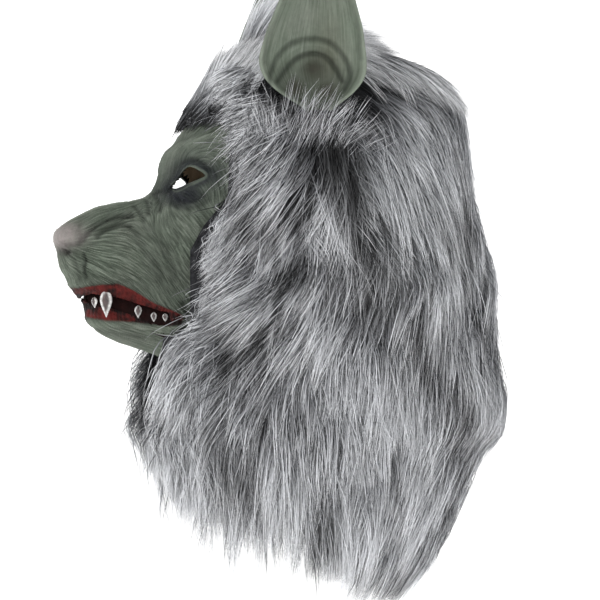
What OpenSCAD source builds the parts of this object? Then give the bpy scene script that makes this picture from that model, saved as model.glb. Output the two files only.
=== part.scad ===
// Full-head werewolf costume mask: a latex head casting with a separate jaw zone, two
// latex ears, cast teeth, and a faux-fur hood of sewn panels. Each fur panel is a knit
// backing with a pile on it. Millimetres. The face looks along -Y, +Z is up, +X is the
// wearer's left, and the origin is the inside of the crown, where the mask rests on
// the head that wears it.

/* [Latex] */
// Wall thickness of the latex castings
latex_wall = 2; // [1.6:0.2:2.4]
// Half width of the head casting at the temples
skull_half_width = 83; // [79:1:84]
// Half width of the muzzle at its middle
muzzle_half_width = 44; // [41:1:46]
// Depth of the moulded groove that the lips lie in
lip_groove = 4; // [3:0.5:5]
// Height of the gap between the lips
lip_gap = 12; // [8:1:13]

/* [Ears] */
// Height of an ear from root to tip
ear_height = 172; // [140:2:176]
// Width of an ear at its widest
ear_width = 91; // [76:1:92]
// How deep the ear is cupped
ear_cup = 24; // [16:1:25]
// Outward lean of the ears in degrees
ear_lean = 11; // [8:1:16]
// How far the ears turn to face forward in degrees
ear_turn = 10; // [0:2:16]

/* [Teeth] */
// Length of the upper canine teeth
fang_length = 24; // [18:1:25]
// Radius of the upper canine teeth at their widest
fang_radius = 4.4; // [3.6:0.2:4.6]
// Length of the small teeth
tooth_length = 10; // [7:1:10]

/* [Faux fur] */
// Thickness of the knit backing
backing = 1.5; // [1:0.25:2]
// Loft of the pile as a share of its natural loft
loft = 1; // [0.7:0.05:1.05]
// Length of the pile that hangs below the hem of the backing
fringe = 58; // [40:2:64]
// Height of the crest of hair that stands between the ears
crest = 48; // [20:2:50]

/* [Openings] */
// Length of an eye hole
eye_length = 30; // [24:1:32]
// Height of an eye hole
eye_height = 14; // [10:1:15]
// Length of a nostril slit
nostril_length = 6; // [4:1:7]

/* [Hidden] */

pile_gap = 0.3;         // between a backing and its pile
joint_gap = 1.2;        // between pieces of different bodies
section_power = 2.3;    // roundness of every cross-section
e = 2 / section_power;
LATEX = "#5f6b5c";
FUR = "#8d9095";
KNIT = "#3a3b3e";
WEB = "#33201c";
ENAMEL = "#e8e4da";
muzzle_scale = muzzle_half_width / 44;
width_scale = skull_half_width / 83;

// Upright cross-sections of the latex from the nose to the back of the head:
// y, top z, bottom z, half width, z where it is widest
sections = [
    [-193.0, -154.0, -160.0, 3 * muzzle_scale, -157],
    [-190.5, -150.5, -168.0, 15 * muzzle_scale, -160],
    [-184.0, -145.5, -184.0, 24 * muzzle_scale, -165],
    [-177.0, -141.0, -201.0, 30 * muzzle_scale, -172],
    [-168.5, -136.5, -221.0, 35 * muzzle_scale, -183],
    [-157.0, -131.5, -236.0, 40 * muzzle_scale, -190],
    [-142.0, -128.0, -245.0, 44 * muzzle_scale, -193],
    [-126.0, -125.5, -250.5, 48 * muzzle_scale, -192],
    [-112.0, -121.0, -255.5, 54, -187],
    [-104.5, -111.0, -258.5, 59, -180],
    [-99.0, -94.0, -260.5, 63, -172],
    [-90.0, -77.5, -262.0, 68, -164],
    [-79.0, -63.0, -264.0, 72, -158],
    [-60.0, -42.0, -265.0, 77, -152],
    [-40.0, -24.0, -266.0, 80, -150],
    [-20.0, -11.0, -300.0, 82, -140],
    [0.0, -2.5, -360.0, 83 * width_scale, -125],
    [26.0, 2.0, -420.0, 83.5 * width_scale, -115],
    [58.0, 1.6, -420.0, 83 * width_scale, -110],
    [92.0, -6.0, -420.0, 76.5 * width_scale, -110],
    [118.0, -20.0, -420.0, 63 * width_scale, -112],
    [136.0, -43.0, -420.0, 46 * width_scale, -116],
    [147.0, -73.0, -420.0, 27 * width_scale, -122],
    [150.0, -108.0, -420.0, 5, -126],
];
// Height of the mouth line, and behind the mouth of the casting's lower edge, along y
line_heights = [[-193, -206], [-177, -209], [-168, -213], [-150, -214], [-130, -221],
                [-110, -228], [-88, -232], [-60, -236], [-40, -238], [150, -238]];
jaw_first = 3.62;       // section where the jaw begins
jaw_last = 14;          // section where the jaw ends
mouth_last = 10.6;      // section of the mouth corner

// Level sections of the inside of the fur hood from the crown down:
// z, front y, back y, half width, share of the loft that goes upward
hood = [
    [4.2, 42, 50, 3, 1],
    [3.8, 28, 64, 12, 0.99],
    [2.6, 6, 86, 27, 0.96],
    [-1.5, -16, 106, 44, 0.9],
    [-10.5, -35, 125, 58, 0.75],
    [-26, -57, 143, 70, 0.5],
    [-43, -72, 152, 77.5, 0.35],
    [-61, -84, 157, 82, 0.2],
    [-100, -112, 160, 88, 0.05],
    [-150, -128, 161, 92, 0],
    [-200, -136, 162, 94, 0],
    [-236, -136, 162, 95, 0],
    [-280, -132, 161, 96, 0],
    [-330, -126, 157, 95, 0],
    [-400, -112, 136, 88, 0],
    [-470, -96, 105, 74, 0],
];
hood_middle = 20;       // y of the hood's widest line
hood_rows = [for (i = [0:len(hood) - 1]) [-hood[i][0], i]];
// Pile loft down the hood, keyed by z
lofts = [[-470, 12], [-442, 18], [-400, 21], [-344, 25], [-330, 30], [-236, 30], [-200, 31],
         [-150, 22], [-100, 14], [-61, 12], [10, 10]];
// Lower tips of the pile, keyed by the angle round the head from the front
tips = [[40, -368], [60, -384], [80, -402], [100, -418], [120, -446], [140, -462], [180, -466]];
// Front edge of the side fur, keyed by z
side_front = [[-420, -70], [-360, -92], [-300, -96], [-262, -92], [-240, -82], [-170, -82],
              [-150, -72], [-125, -52], [-64, -48], [-20, -34], [-10, -28]];
crown_row = 3.7;        // hood row where the crown panel ends
ear_row = 6.95;         // hood row of the side panels' upper edge under an ear
hairline_z = -60;
seam_angle = 150;       // where the side panels meet the back panels
nape_z = -237;

// ---- interpolation ----
function mix(a, b, k) = a + (b - a) * k;
function ease(k) = let (c = max(0, min(1, k))) c * c * (3 - 2 * c);
function row(table, i) = table[max(0, min(len(table) - 1, i))];
// Column c of a table at the fractional row p, as a smooth curve
function smooth_at(table, p, c) =
    let (i = floor(p), k = p - i, a = row(table, i - 1)[c], b = row(table, i)[c],
         d = row(table, i + 1)[c], f = row(table, i + 2)[c], m = (d - a) / 2, n = (f - b) / 2)
    (2 * k ^ 3 - 3 * k ^ 2 + 1) * b + (k ^ 3 - 2 * k ^ 2 + k) * m
    + (3 * k ^ 2 - 2 * k ^ 3) * d + (k ^ 3 - k ^ 2) * n;
function steps(a, b, n) = [for (i = [0:n]) mix(a, b, i / n)];

// A closed shell between two grids of points, both [row][column], made of the cells where
// on(column, row) is true. closed joins the last column to the first, and capped closes
// the first row, which is flat.
module grid_shell(outer, inner, on = function (i, j) true, closed = false, capped = false) {
    rows = len(outer);
    columns = len(outer[0]);
    cells = closed ? columns : columns - 1;
    function id(k, i, j) = k * rows * columns + j * columns + i % columns;
    function live(i, j) =
        j >= 0 && j < rows - 1 && (closed || (i >= 0 && i < cells)) && on((i + cells) % cells, j);
    function quad(a, b, c, d) = [[a, b, c], [a, c, d]];
    function wall(i1, j1, i2, j2) =
        quad(id(0, i2, j2), id(0, i1, j1), id(1, i1, j1), id(1, i2, j2));
    faces = [
        for (j = [0:rows - 2], i = [0:cells - 1]) if (live(i, j))
            each concat(
                quad(id(0, i, j), id(0, i + 1, j), id(0, i + 1, j + 1), id(0, i, j + 1)),
                quad(id(1, i, j), id(1, i, j + 1), id(1, i + 1, j + 1), id(1, i + 1, j)),
                live(i, j - 1) || (capped && j == 0) ? [] : wall(i, j, i + 1, j),
                live(i + 1, j) ? [] : wall(i + 1, j, i + 1, j + 1),
                live(i, j + 1) ? [] : wall(i + 1, j + 1, i, j + 1),
                live(i - 1, j) ? [] : wall(i, j + 1, i, j)
            ),
        if (capped) [for (i = [columns - 1:-1:0]) id(0, i, 0)],
        if (capped) [for (i = [0:columns - 1]) id(1, i, 0)],
    ];
    polyhedron(points = concat([for (r = outer) each r], [for (r = inner) each r]), faces = faces);
}

// ---- latex ----
function line_z(y) = lookup(y, line_heights);
function half_gap(p) =
    p < jaw_first ? 0
    : joint_gap / 2 + (lip_gap - joint_gap) / 2 * ease((p - 3.75) / 0.9) * ease((mouth_last - p) / 1.6);
function groove(p, z, y) =
    lip_groove * ease((p - 3) / 1.2) * ease((mouth_last - p) / 1.5) * ease(1.5 - abs(z - line_z(y)) / 9);
// A point of the latex at section p. The share s runs from 0 at the top over 0.4 at the widest
// line to 0.7 at the upper lip, and on from the lower lip to 1 at the bottom.
function latex_point(p, s, inset = 0) =
    let (y = smooth_at(sections, p, 0), top = smooth_at(sections, p, 1),
         bottom = smooth_at(sections, p, 2), w = smooth_at(sections, p, 3),
         mid = smooth_at(sections, p, 4), t = abs(s),
         edge = line_z(y) + (t < 0.7 ? 1 : -1) * half_gap(p),
         edge_share = max(0.02, min(0.995, (mid - edge) / (mid - bottom))),
         edge_angle = asin(edge_share ^ (1 / e)),
         angle = t < 0.4 ? 90 * (1 - t / 0.4) : t < 0.7 ? edge_angle * (t - 0.4) / 0.3
               : mix(edge_angle, 90, (t - 0.7) / 0.3),
         reach = t < 0.4 ? top - mid : bottom - mid,
         i = inset + groove(p, mid + reach * sin(angle) ^ e, y),
         half = max(0.4, w - i),
         rise = t < 0.4 ? max(0.4, reach - i) : min(-0.4, reach + i))
    [sign(s) * half * max(0, cos(angle)) ^ e,
     y + (p < 16 ? inset * ease((16 - p) / 4) : -inset * ease((p - 18) / 4)),
     mid + rise * sin(angle) ^ e];

module eye_cutters() {
    outline = [for (k = [0:20:340]) [eye_length / 2 * cos(k),
                                      eye_height / 2 * sin(k) * (0.78 - 0.22 * cos(k))]];
    for (side = [-1, 1])
        translate([side * 30, -84.5, -108]) rotate([90, 0, side * 90])
            rotate([0, 0, side * 16]) mirror([side < 0 ? 1 : 0, 0, 0])
                linear_extrude(70) polygon(outline);
}

module nostril_cutters() {
    for (side = [-1, 1])
        translate([side * 13, -197, -168]) rotate([-90, 0, side * 24])
            linear_extrude(26) hull() {
                circle(1.2, $fn = 24);
                translate([side * nostril_length, 2]) circle(1.2, $fn = 24);
            }
}

// Number of columns on each half of the casting, and how many of them are below the mouth
half_columns = 15;
jaw_columns = 4;
function share_of(c) =
    let (n = half_columns - jaw_columns, t = abs(c))
    sign(c) * (t <= n ? 0.69999 * t / n : mix(0.7, 1, (t - n) / jaw_columns));

module latex_head() {
    stations = concat([0.15, 0.45, 0.8, 1.2, 1.7, 2.2, 2.7, 3.2], steps(jaw_first, 11, 16),
                      steps(11.6, 23, 18));
    n = half_columns - jaw_columns;
    columns = [half_columns:-1:1 - half_columns];
    color(LATEX)
        difference() {
            grid_shell(
                [for (p = stations) [for (c = columns) latex_point(p, share_of(c))]],
                [for (p = stations) [for (c = columns) latex_point(p, share_of(c), latex_wall)]],
                function (i, j) stations[j] < jaw_first - 0.01
                    || (i >= half_columns - n && i < half_columns + n),
                closed = true, capped = true);
            eye_cutters();
            nostril_cutters();
        }
}

module latex_jaw() {
    stations = steps(jaw_first + 0.14, jaw_last, 22);
    shares = concat([for (s = steps(0.7, 0.94, 6)) -s], [1], steps(0.94, 0.7, 6));
    color(LATEX)
        grid_shell([for (p = stations) [for (s = shares) latex_point(p, s)]],
                   [for (p = stations) [for (s = shares) latex_point(p, s, latex_wall)]]);
}

// The dark web behind the lips, bonded inside the upper lip
module mouth_web() {
    levels = [[0.56, 8.5], [0.64, 7.4], [0.69999, 7.4], [0.73, 9.5]];
    side_stations = steps(4.5, 11, 12);
    function at(p, side, level, extra) =
        let (q = latex_point(p, level[0], level[1] + extra)) [side * q[0], q[1], q[2]];
    function front(share, level, extra) =
        let (q = latex_point(4.5, level[0], level[1] + extra))
        [share * q[0], q[1] - 3 * (1 - share ^ 2), q[2]];
    function line(extra) = concat(
        [for (i = [12:-1:0]) [for (v = levels) at(side_stations[i], 1, v, extra)]],
        [for (k = [0.5, 0, -0.5]) [for (v = levels) front(k, v, extra)]],
        [for (i = [0:12]) [for (v = levels) at(side_stations[i], -1, v, extra)]]);
    color(WEB) grid_shell(line(0), line(1.6));
}

// A tooth: a leaf-shaped spindle whose widest point is a third of the way down
module tooth(p, share, length, radius, inset) {
    q = latex_point(p, 0.69999, inset);
    z = line_z(smooth_at(sections, p, 0));
    translate([share * q[0], q[1] - (share == 0 || abs(share) < 1 ? 3 : 0), z])
        rotate_extrude($fn = 32)
            polygon([[0, length * 0.5], [radius * 0.62, length * 0.44], [radius * 0.95, length * 0.26],
                     [radius, length * 0.1], [radius * 0.82, -length * 0.14],
                     [radius * 0.45, -length * 0.36], [0, -length * 0.5]]);
}

module front_teeth() {
    color(ENAMEL)
        for (side = [-1, 1]) {
            tooth(4.5, side * 0.3, tooth_length * 0.8, 2.6, 3.6);
            tooth(4.62, side, tooth_length * 0.85, 2.7, 2.6);
        }
}

module fangs() {
    color(ENAMEL)
        for (side = [-1, 1]) tooth(5.4, side, fang_length, fang_radius, -4.6);
}

module cheek_teeth() {
    color(ENAMEL)
        for (side = [-1, 1]) {
            tooth(6.75, side, tooth_length, 2.8, 3.4);
            tooth(7.6, side, tooth_length * 0.8, 2.3, 3.6);
            tooth(8.5, side, tooth_length * 0.65, 2.3, 3.6);
        }
}

// ---- ears ----
ear_root = [88, 18, -52];
// Half width along the ear as a share of its greatest half width, and the sweep of its middle
ear_widths = [[0, 0.2], [0.05, 0.5], [0.1, 0.76], [0.17, 0.96], [0.25, 1], [0.4, 0.88], [0.55, 0.68],
              [0.7, 0.46], [0.82, 0.28], [0.93, 0.11], [1, 0.02]];
ear_sweeps = [[0, 6], [0.1, 3], [0.25, 0], [0.6, 5], [1, 9]];
ear_cups = [[0, 0.1], [0.08, 0.34], [0.2, 0.85], [0.35, 1], [0.7, 0.6], [1, 0.05]];
function ear_point(v, s, depth) =
    [lookup(v, ear_sweeps) + s * ear_width / 2 * lookup(v, ear_widths),
     v * ear_height,
     ear_cup * lookup(v, ear_cups) * (1 - s * s) + depth];

// Built in the ear's own plane, x from front to back, y up the ear and z into the cup
module ear() {
    up = [0, 0.03, 0.07, 0.12, 0.18, 0.25, 0.33, 0.42, 0.51, 0.6, 0.69, 0.78, 0.86, 0.93, 1];
    across = steps(-1, 1, 12);
    translate(ear_root) rotate([0, ear_lean, -ear_turn]) multmatrix([[0, 0, -1, 0], [1, 0, 0, 0], [0, 1, 0, 0]])
        grid_shell([for (v = up) [for (s = across) ear_point(v, s, 0)]],
                   [for (v = up) [for (s = across) ear_point(v, s, latex_wall + 0.6)]]);
}

module left_ear() {
    color(LATEX) ear();
}

module right_ear() {
    color(LATEX) mirror([1, 0, 0]) ear();
}

// ---- fur hood ----
function hood_row(z) = lookup(-z, hood_rows);
// A point of the hood at an angle round the head from the front, at a hood row, lofted outward
function hood_point(angle, r, out) =
    let (up = smooth_at(hood, r, 4), across = out * sqrt(max(0, 1 - up * up)), c = cos(angle),
         w = smooth_at(hood, r, 3) + across, front = smooth_at(hood, r, 1) - across,
         back = smooth_at(hood, r, 2) + across)
    [w * sign(sin(angle)) * abs(sin(angle)) ^ e,
     c > 0 ? hood_middle - (hood_middle - front) * c ^ e : hood_middle + (back - hood_middle) * abs(c) ^ e,
     smooth_at(hood, r, 0) + out * up];
function loft_at(r) = loft * lookup(smooth_at(hood, r, 0), lofts);
function front_angle(r) =
    let (z = smooth_at(hood, r, 0), y = lookup(z, side_front), front = smooth_at(hood, r, 1),
         c = max(0, min(1, (hood_middle - y) / (hood_middle - front))))
    acos(c ^ (1 / e));
function tip_row(angle, up) = hood_row(lookup(abs(angle), tips) + up);

// The backing or the pile of a panel, from its grid of [angle, row, loft] places
module panel(places, piled) {
    inside = piled ? backing + pile_gap : 0;
    grid_shell(
        [for (line = places) [for (q = line) hood_point(q[0], q[1], piled ? inside + q[2] : backing)]],
        [for (line = places) [for (q = line) hood_point(q[0], q[1], inside)]]);
}

// Rows of a hanging panel: down its backing, and for the pile on to the tips
function hanging(piled) = piled ? concat(steps(0, 1, 13), [1.35, 1.7, 2]) : steps(0, 1, 13);
function hanging_row(first, angle, v) =
    v <= 1 ? mix(first, tip_row(angle, fringe), v) : mix(tip_row(angle, fringe), tip_row(angle, 0), v - 1);
function side_places(piled) =
    [for (v = hanging(piled)) [for (u = steps(0, 1, 14))
        let (low_angle = mix(front_angle(12), seam_angle, u),
             angle_up = mix(front_angle(crown_row + 0.1), seam_angle, u),
             notch = ease((angle_up - 38) / 12) * ease((128 - angle_up) / 14),
             first = mix(crown_row + 0.1, ear_row, notch),
             r = hanging_row(first, low_angle, v),
             a = mix(front_angle(r), seam_angle, u) + mix(0.3, -0.3, u))
        [a, r, loft_at(r) * mix(0.35, 1, ease(u / 0.28)) * mix(1, 0.35, ease(v - 1))]]];

function back_places(first, last_z, span) =
    [for (v = steps(0, 1, 10)) [for (u = steps(1, -1, 8))
        let (a = 180 - u * (180 - seam_angle - span), r = mix(first, hood_row(last_z), v))
        [a, r, loft_at(r)]]];

module left_side_backing() {
    color(KNIT) panel(side_places(false), false);
}

module left_side_pile() {
    color(FUR) panel(side_places(true), true);
}

module right_side_backing() {
    color(KNIT) mirror([1, 0, 0]) panel(side_places(false), false);
}

module right_side_pile() {
    color(FUR) mirror([1, 0, 0]) panel(side_places(true), true);
}

module back_backing() {
    color(KNIT) panel(back_places(crown_row + 0.1, nape_z, 0.3), false);
}

module back_pile() {
    color(FUR) panel(back_places(crown_row + 0.1, nape_z, 0.3), true);
}

// The nape panel thins towards its upper edge, so that it can swing out under the back panel
function nape_places(piled) =
    [for (v = hanging(piled)) [for (u = steps(1, -1, 8))
        let (a = 180 - u * (180 - seam_angle - 1.2), r = hanging_row(hood_row(nape_z - 2.8), 180, v))
        [a, r, loft_at(r) * mix(0.06, 1, ease(v / 0.62)) * mix(1, 0.35, ease(v - 1))]]];

module nape_backing() {
    color(KNIT) panel(nape_places(false), false);
}

module nape_pile() {
    color(FUR) panel(nape_places(true), true);
}

// The crown pile stands up in a crest between the ears
function crest_at(q) = crest * ease(1.3 - abs(q[0]) / 42) * ease(1.35 - abs(q[1] - 12) / 52);
module crown(piled) {
    inside = piled ? backing + pile_gap : 0;
    rows = [0, 0.9, 1.6, 2.2, 2.8, 3.3, crown_row];
    function at(a, r, out) = hood_point(a, r, out);
    function top(a, r) =
        let (q = at(a, r, inside + loft_at(r) * mix(1, 0.5, ease((r - 2.4) / 1.3) * abs(sin(a)) ^ 4)))
        [q[0], q[1], q[2] + crest_at(r > 0 ? q : [0, hood[0][1], 0]) * ease((crown_row - r) / 1.2)];
    turn = [for (i = [0:23]) i * 15 + 7.5];
    grid_shell([for (r = rows) [for (a = turn) piled ? top(a, r) : at(a, r, backing)]],
               [for (r = rows) [for (a = turn) at(a, r, inside)]], closed = true, capped = true);
}

module crown_backing() {
    color(KNIT) crown(false);
}

module crown_pile() {
    color(FUR) crown(true);
}

function forelock_places() =
    [for (v = steps(0, 1, 8)) [for (u = steps(-1, 1, 12))
        let (r = mix(crown_row + 0.1, hood_row(hairline_z), v), a = front_angle(r) - 2.6)
        [u * a, r, loft_at(r) * mix(1.15, 0.45, ease((v - 0.5) / 0.5)) * mix(1, 0.6, ease((abs(u) - 0.7) / 0.3))]]];

module forelock_backing() {
    color(KNIT) panel(forelock_places(), false);
}

module forelock_pile() {
    color(FUR) panel(forelock_places(), true);
}

// ---- beard ----
// The backing lies under the jaw, and the pile hangs from it
beard_first = 9.7;
beard_last = 13.9;
beard_share = 0.75;
beard_gap = 1.3;        // glue line between the latex and the beard's backing
beard_shares = concat([for (s = steps(beard_share, 1, 5)) if (s < 0.999) -s], steps(1, beard_share, 5));
function beard_top(p, s, out) = latex_point(p, s, -out);

module beard_backing() {
    stations = steps(beard_first, beard_last, 8);
    color(KNIT)
        grid_shell([for (p = stations) [for (s = beard_shares) beard_top(p, s, beard_gap + backing)]],
                   [for (p = stations) [for (s = beard_shares) beard_top(p, s, beard_gap)]]);
}

module beard_pile() {
    stations = steps(beard_first, beard_last, 8);
    function tip(p, s) =
        let (q = beard_top(p, s, beard_gap + pile_gap + backing), k = (p - beard_first) / (beard_last - beard_first))
        [q[0] * 1.12, mix(q[1], mix(-119, -74, k), 0.94), mix(-360, -352, k)];
    color(FUR)
        grid_shell([for (p = stations) [for (s = beard_shares) tip(p, s)]],
                   [for (p = stations) [for (s = beard_shares) beard_top(p, s, beard_gap + pile_gap + backing)]]);
}

latex_head();
latex_jaw();
mouth_web();
left_ear();
right_ear();
front_teeth();
fangs();
cheek_teeth();
forelock_backing();
forelock_pile();
crown_backing();
crown_pile();
left_side_backing();
left_side_pile();
right_side_backing();
right_side_pile();
back_backing();
back_pile();
nape_backing();
nape_pile();
beard_backing();
beard_pile();
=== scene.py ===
"""Werewolf costume mask: a sculpted latex face, ears and jaw under a faux-fur hood.

Lengths are in millimetres until a piece is made, and its mesh is in metres. The face
looks along -Y, +Z is up and +X is the wearer's left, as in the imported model.
"""
import math

import bpy
import numpy as np
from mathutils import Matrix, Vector


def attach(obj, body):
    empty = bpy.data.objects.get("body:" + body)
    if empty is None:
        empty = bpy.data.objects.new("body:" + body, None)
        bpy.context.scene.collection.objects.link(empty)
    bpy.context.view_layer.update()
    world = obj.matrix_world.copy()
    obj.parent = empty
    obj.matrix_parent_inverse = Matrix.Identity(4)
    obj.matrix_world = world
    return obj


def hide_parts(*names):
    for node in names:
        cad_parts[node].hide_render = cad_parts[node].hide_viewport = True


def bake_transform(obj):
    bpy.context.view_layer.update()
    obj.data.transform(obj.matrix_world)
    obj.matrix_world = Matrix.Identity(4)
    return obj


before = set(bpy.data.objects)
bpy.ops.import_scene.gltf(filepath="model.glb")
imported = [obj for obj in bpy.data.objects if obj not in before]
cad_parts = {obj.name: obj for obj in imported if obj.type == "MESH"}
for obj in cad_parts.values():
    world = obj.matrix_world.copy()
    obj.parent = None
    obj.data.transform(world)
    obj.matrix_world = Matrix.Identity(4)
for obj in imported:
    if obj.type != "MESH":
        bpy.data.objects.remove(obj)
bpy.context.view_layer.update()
POWER = 2 / 2.3         # squareness of every cross-section
SIDE_NAMES = {1: "left", -1: "right"}       # by the sign of x


# ---- interpolation ----
def mix(a, b, k):
    return a + (b - a) * k


def ease(k):
    k = np.clip(k, 0.0, 1.0)
    return k * k * (3 - 2 * k)


def bell(*offsets):
    """1 where every offset is 0, and next to nothing beyond 2."""
    return np.exp(-sum(v ** 2 for v in offsets))


def lookup(x, pairs):
    return np.interp(x, [a for a, b in pairs], [b for a, b in pairs])


def smooth_at(table, p, column):
    """Column of a table at the fractional row p, as a smooth curve."""
    values = np.asarray(table, float)[:, column]
    i = np.floor(p).astype(int)
    k = p - i
    a, b, d, f = (values[np.clip(i + n, 0, len(values) - 1)] for n in (-1, 0, 1, 2))
    m, n = (d - a) / 2, (f - b) / 2
    return ((2 * k ** 3 - 3 * k ** 2 + 1) * b + (k ** 3 - 2 * k ** 2 + k) * m
            + (3 * k ** 2 - 2 * k ** 3) * d + (k ** 3 - k ** 2) * n)


def unit(v):
    return v / np.maximum(np.linalg.norm(v, axis=-1, keepdims=True), 1e-9)


def cloud(u, v, seed):
    """Smooth noise, about -1 to 1, with one cell to each unit of u and v."""
    lattice = np.random.default_rng(seed).uniform(-1.5, 1.5, (64, 64))
    i, j = np.floor(u).astype(int), np.floor(v).astype(int)
    fu, fv = ease(u - i), ease(v - j)
    corner = [[lattice[(i + a) % 64, (j + b) % 64] for a in (0, 1)] for b in (0, 1)]
    return mix(mix(*corner[0], fu), mix(*corner[1], fu), fv)


# ---- meshes ----
def make_mesh(name, points, faces, material, uv=None, colours=None, normals=None):
    """A mesh object from points in mm and a list of face arrays, each of one face size."""
    mesh = bpy.data.meshes.new(name)
    points = np.asarray(points, np.float32).reshape(-1, 3)
    faces = [np.asarray(f, np.int32) for f in faces if len(f)]
    corners = np.concatenate([f.ravel() for f in faces])
    sizes = np.concatenate([np.full(len(f), f.shape[1], np.int32) for f in faces])
    starts = np.concatenate([[0], np.cumsum(sizes)[:-1]]).astype(np.int32)
    mesh.vertices.add(len(points))
    mesh.vertices.foreach_set("co", (points * 0.001).ravel())
    mesh.loops.add(len(corners))
    mesh.loops.foreach_set("vertex_index", corners)
    mesh.polygons.add(len(sizes))
    mesh.polygons.foreach_set("loop_start", starts)
    mesh.update(calc_edges=True)
    if uv is not None:
        layer = mesh.uv_layers.new(name="OFBake")
        layer.data.foreach_set("uv", np.asarray(uv, np.float32)[corners].ravel())
    if colours is not None:
        layer = mesh.color_attributes.new("paint", "FLOAT_COLOR", "POINT")
        rgba = np.concatenate([colours, np.ones((len(colours), 1))], 1).astype(np.float32)
        layer.data.foreach_set("color", rgba.ravel())
    mesh.polygons.foreach_set("use_smooth", np.full(len(sizes), True))
    mesh.validate()
    if normals is not None:
        mesh.normals_split_custom_set_from_vertices(normals)
    mesh.materials.append(material)
    obj = bpy.data.objects.new(name, mesh)
    bpy.context.scene.collection.objects.link(obj)
    return obj


def make_piece(name, points, faces, material, slot, body, replaces, blend=None, **layers):
    """A visible piece. It rides on a body, or with blend it stays unparented, its transform baked
    into the mesh.
    """
    obj = make_mesh(name, points, faces, material, **layers)
    if not blend:
        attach(obj, body)
    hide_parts(*replaces)
    if blend:
        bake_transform(obj)
    return obj


def grid_faces(rows, columns, closed=False):
    """Quads of a grid of points, row after row."""
    across = np.arange(columns if closed else columns - 1)
    j, i = np.meshgrid(np.arange(rows - 1), across, indexing="ij")
    k = (i + 1) % columns
    corners = (j * columns + i, j * columns + k, (j + 1) * columns + k, (j + 1) * columns + i)
    return np.stack(corners, -1).reshape(-1, 4)


def grid_piece(name, grid, *args):
    return make_piece(name, grid, [grid_faces(*grid.shape[:2])], *args)


def grid_uv(rows, columns, first, last):
    """UV of a grid of points, between two values of u."""
    u, v = np.meshgrid(np.linspace(first, last, columns), np.linspace(0.01, 0.99, rows))
    return np.stack([u, v], -1).reshape(-1, 2)


def facing(points, faces):
    """Normals of faces, as long as their areas are large."""
    a, b, c = (points[faces[:, n]] for n in (0, 1, 2))
    return np.cross(b - a, c - a)


def outward_normals(points, inner):
    """Unit normals of a grid of points, turned away from the grid inside it."""
    normals = unit(np.cross(np.gradient(points, axis=1), np.gradient(points, axis=0)))
    return normals * np.sign(((points - inner) * normals).sum(-1, keepdims=True))


def stroke_distance(y, z, points):
    """Distance from each point of the side view to a polyline, and how far along it, 0 to 1."""
    best = np.full(y.shape, 1e9)
    along = np.zeros(y.shape)
    for n, ((ay, az), (by, bz)) in enumerate(zip(points, points[1:])):
        dy, dz = by - ay, bz - az
        k = np.clip(((y - ay) * dy + (z - az) * dz) / (dy * dy + dz * dz), 0, 1)
        d = np.hypot(y - ay - k * dy, z - az - k * dz)
        closer = d < best
        best = np.where(closer, d, best)
        along = np.where(closer, (n + k) / (len(points) - 1), along)
    return best, along


def softened(points):
    """A line with its corners cut off twice."""
    line = np.asarray(points, float)
    for _ in range(2):
        a, b = line[:-1], line[1:]
        cut = np.stack([mix(a, b, 0.25), mix(a, b, 0.75)], 1).reshape(-1, 2)
        line = np.concatenate([line[:1], cut, line[-1:]])
    return line


def carved(y, z, lines, end, deep, darkest, wider, where=1.0):
    """Relief of (line, height, half width) strokes, and the painted shade of the grooves among
    them.
    A stroke has a share of its height at its end, and a groove this deep is as dark as 1."""
    relief, dark = np.zeros(y.shape), np.zeros(y.shape)
    for line, height, half in lines:
        d, along = stroke_distance(y, z, softened(line))
        shape = bell(d / half) * (end + (1 - end) * np.sin(math.pi * along) ** 0.5) * where
        relief += height * shape
        if height < 0:
            dark += np.clip(-height / deep, 0, darkest) * bell(d / half / wider) * where
    return relief, dark


def sample(grid, j, i):
    """Value of a grid at fractional rows j and columns i."""
    rows, columns = grid.shape[:2]
    j, i = np.clip(j, 0, rows - 1.001), np.clip(i, 0, columns - 1.001)
    j0, i0 = j.astype(int), i.astype(int)
    fj, fi = j - j0, i - i0
    if grid.ndim == 3:
        fj, fi = fj[..., None], fi[..., None]
    return ((grid[j0, i0] * (1 - fi) + grid[j0, i0 + 1] * fi) * (1 - fj)
            + (grid[j0 + 1, i0] * (1 - fi) + grid[j0 + 1, i0 + 1] * fi) * fj)


def streaks(points, flow, length, seed):
    """Noise drawn out along a flow over a grid of points, about -1 to 1: sculpted furrows."""
    along_i, along_j = np.gradient(points, axis=1), np.gradient(points, axis=0)
    a, b, c = ((u * v).sum(-1) for u, v in
               ((along_i, along_i), (along_i, along_j), (along_j, along_j)))
    fi, fj = (along_i * flow).sum(-1), (along_j * flow).sum(-1)
    det = np.maximum(a * c - b * b, 1e-6)
    step = np.stack([(a * fj - b * fi) / det, (c * fi - b * fj) / det], -1)  # cells to 1 mm
    noise = np.random.default_rng(seed).standard_normal(points.shape[:2])
    total = noise.copy()
    rows, columns = np.meshgrid(*(np.arange(n, dtype=float) for n in points.shape[:2]),
                                indexing="ij")
    for sign in (-1, 1):
        j, i = rows.copy(), columns.copy()
        for n in range(length):
            v = sample(step, j, i)
            j, i = j + sign * v[..., 0], i + sign * v[..., 1]
            total += sample(noise, j, i) * (1 - n / length)
    return np.clip(total / total.std() / 2, -1, 1)


def field_at(table, y, z, reach):
    """Unit direction (back, down) in the side view, blended from (y, z, degrees) rows."""
    back, down = np.zeros(y.shape), np.zeros(y.shape)
    for ty, tz, angle in table:
        w = 1 / ((y - ty) ** 2 + (z - tz) ** 2 + reach ** 2) ** 2
        back += w * math.cos(math.radians(angle))
        down += w * math.sin(math.radians(angle))
    size = np.maximum(np.hypot(back, down), 1e-9)
    return back / size, down / size


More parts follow.
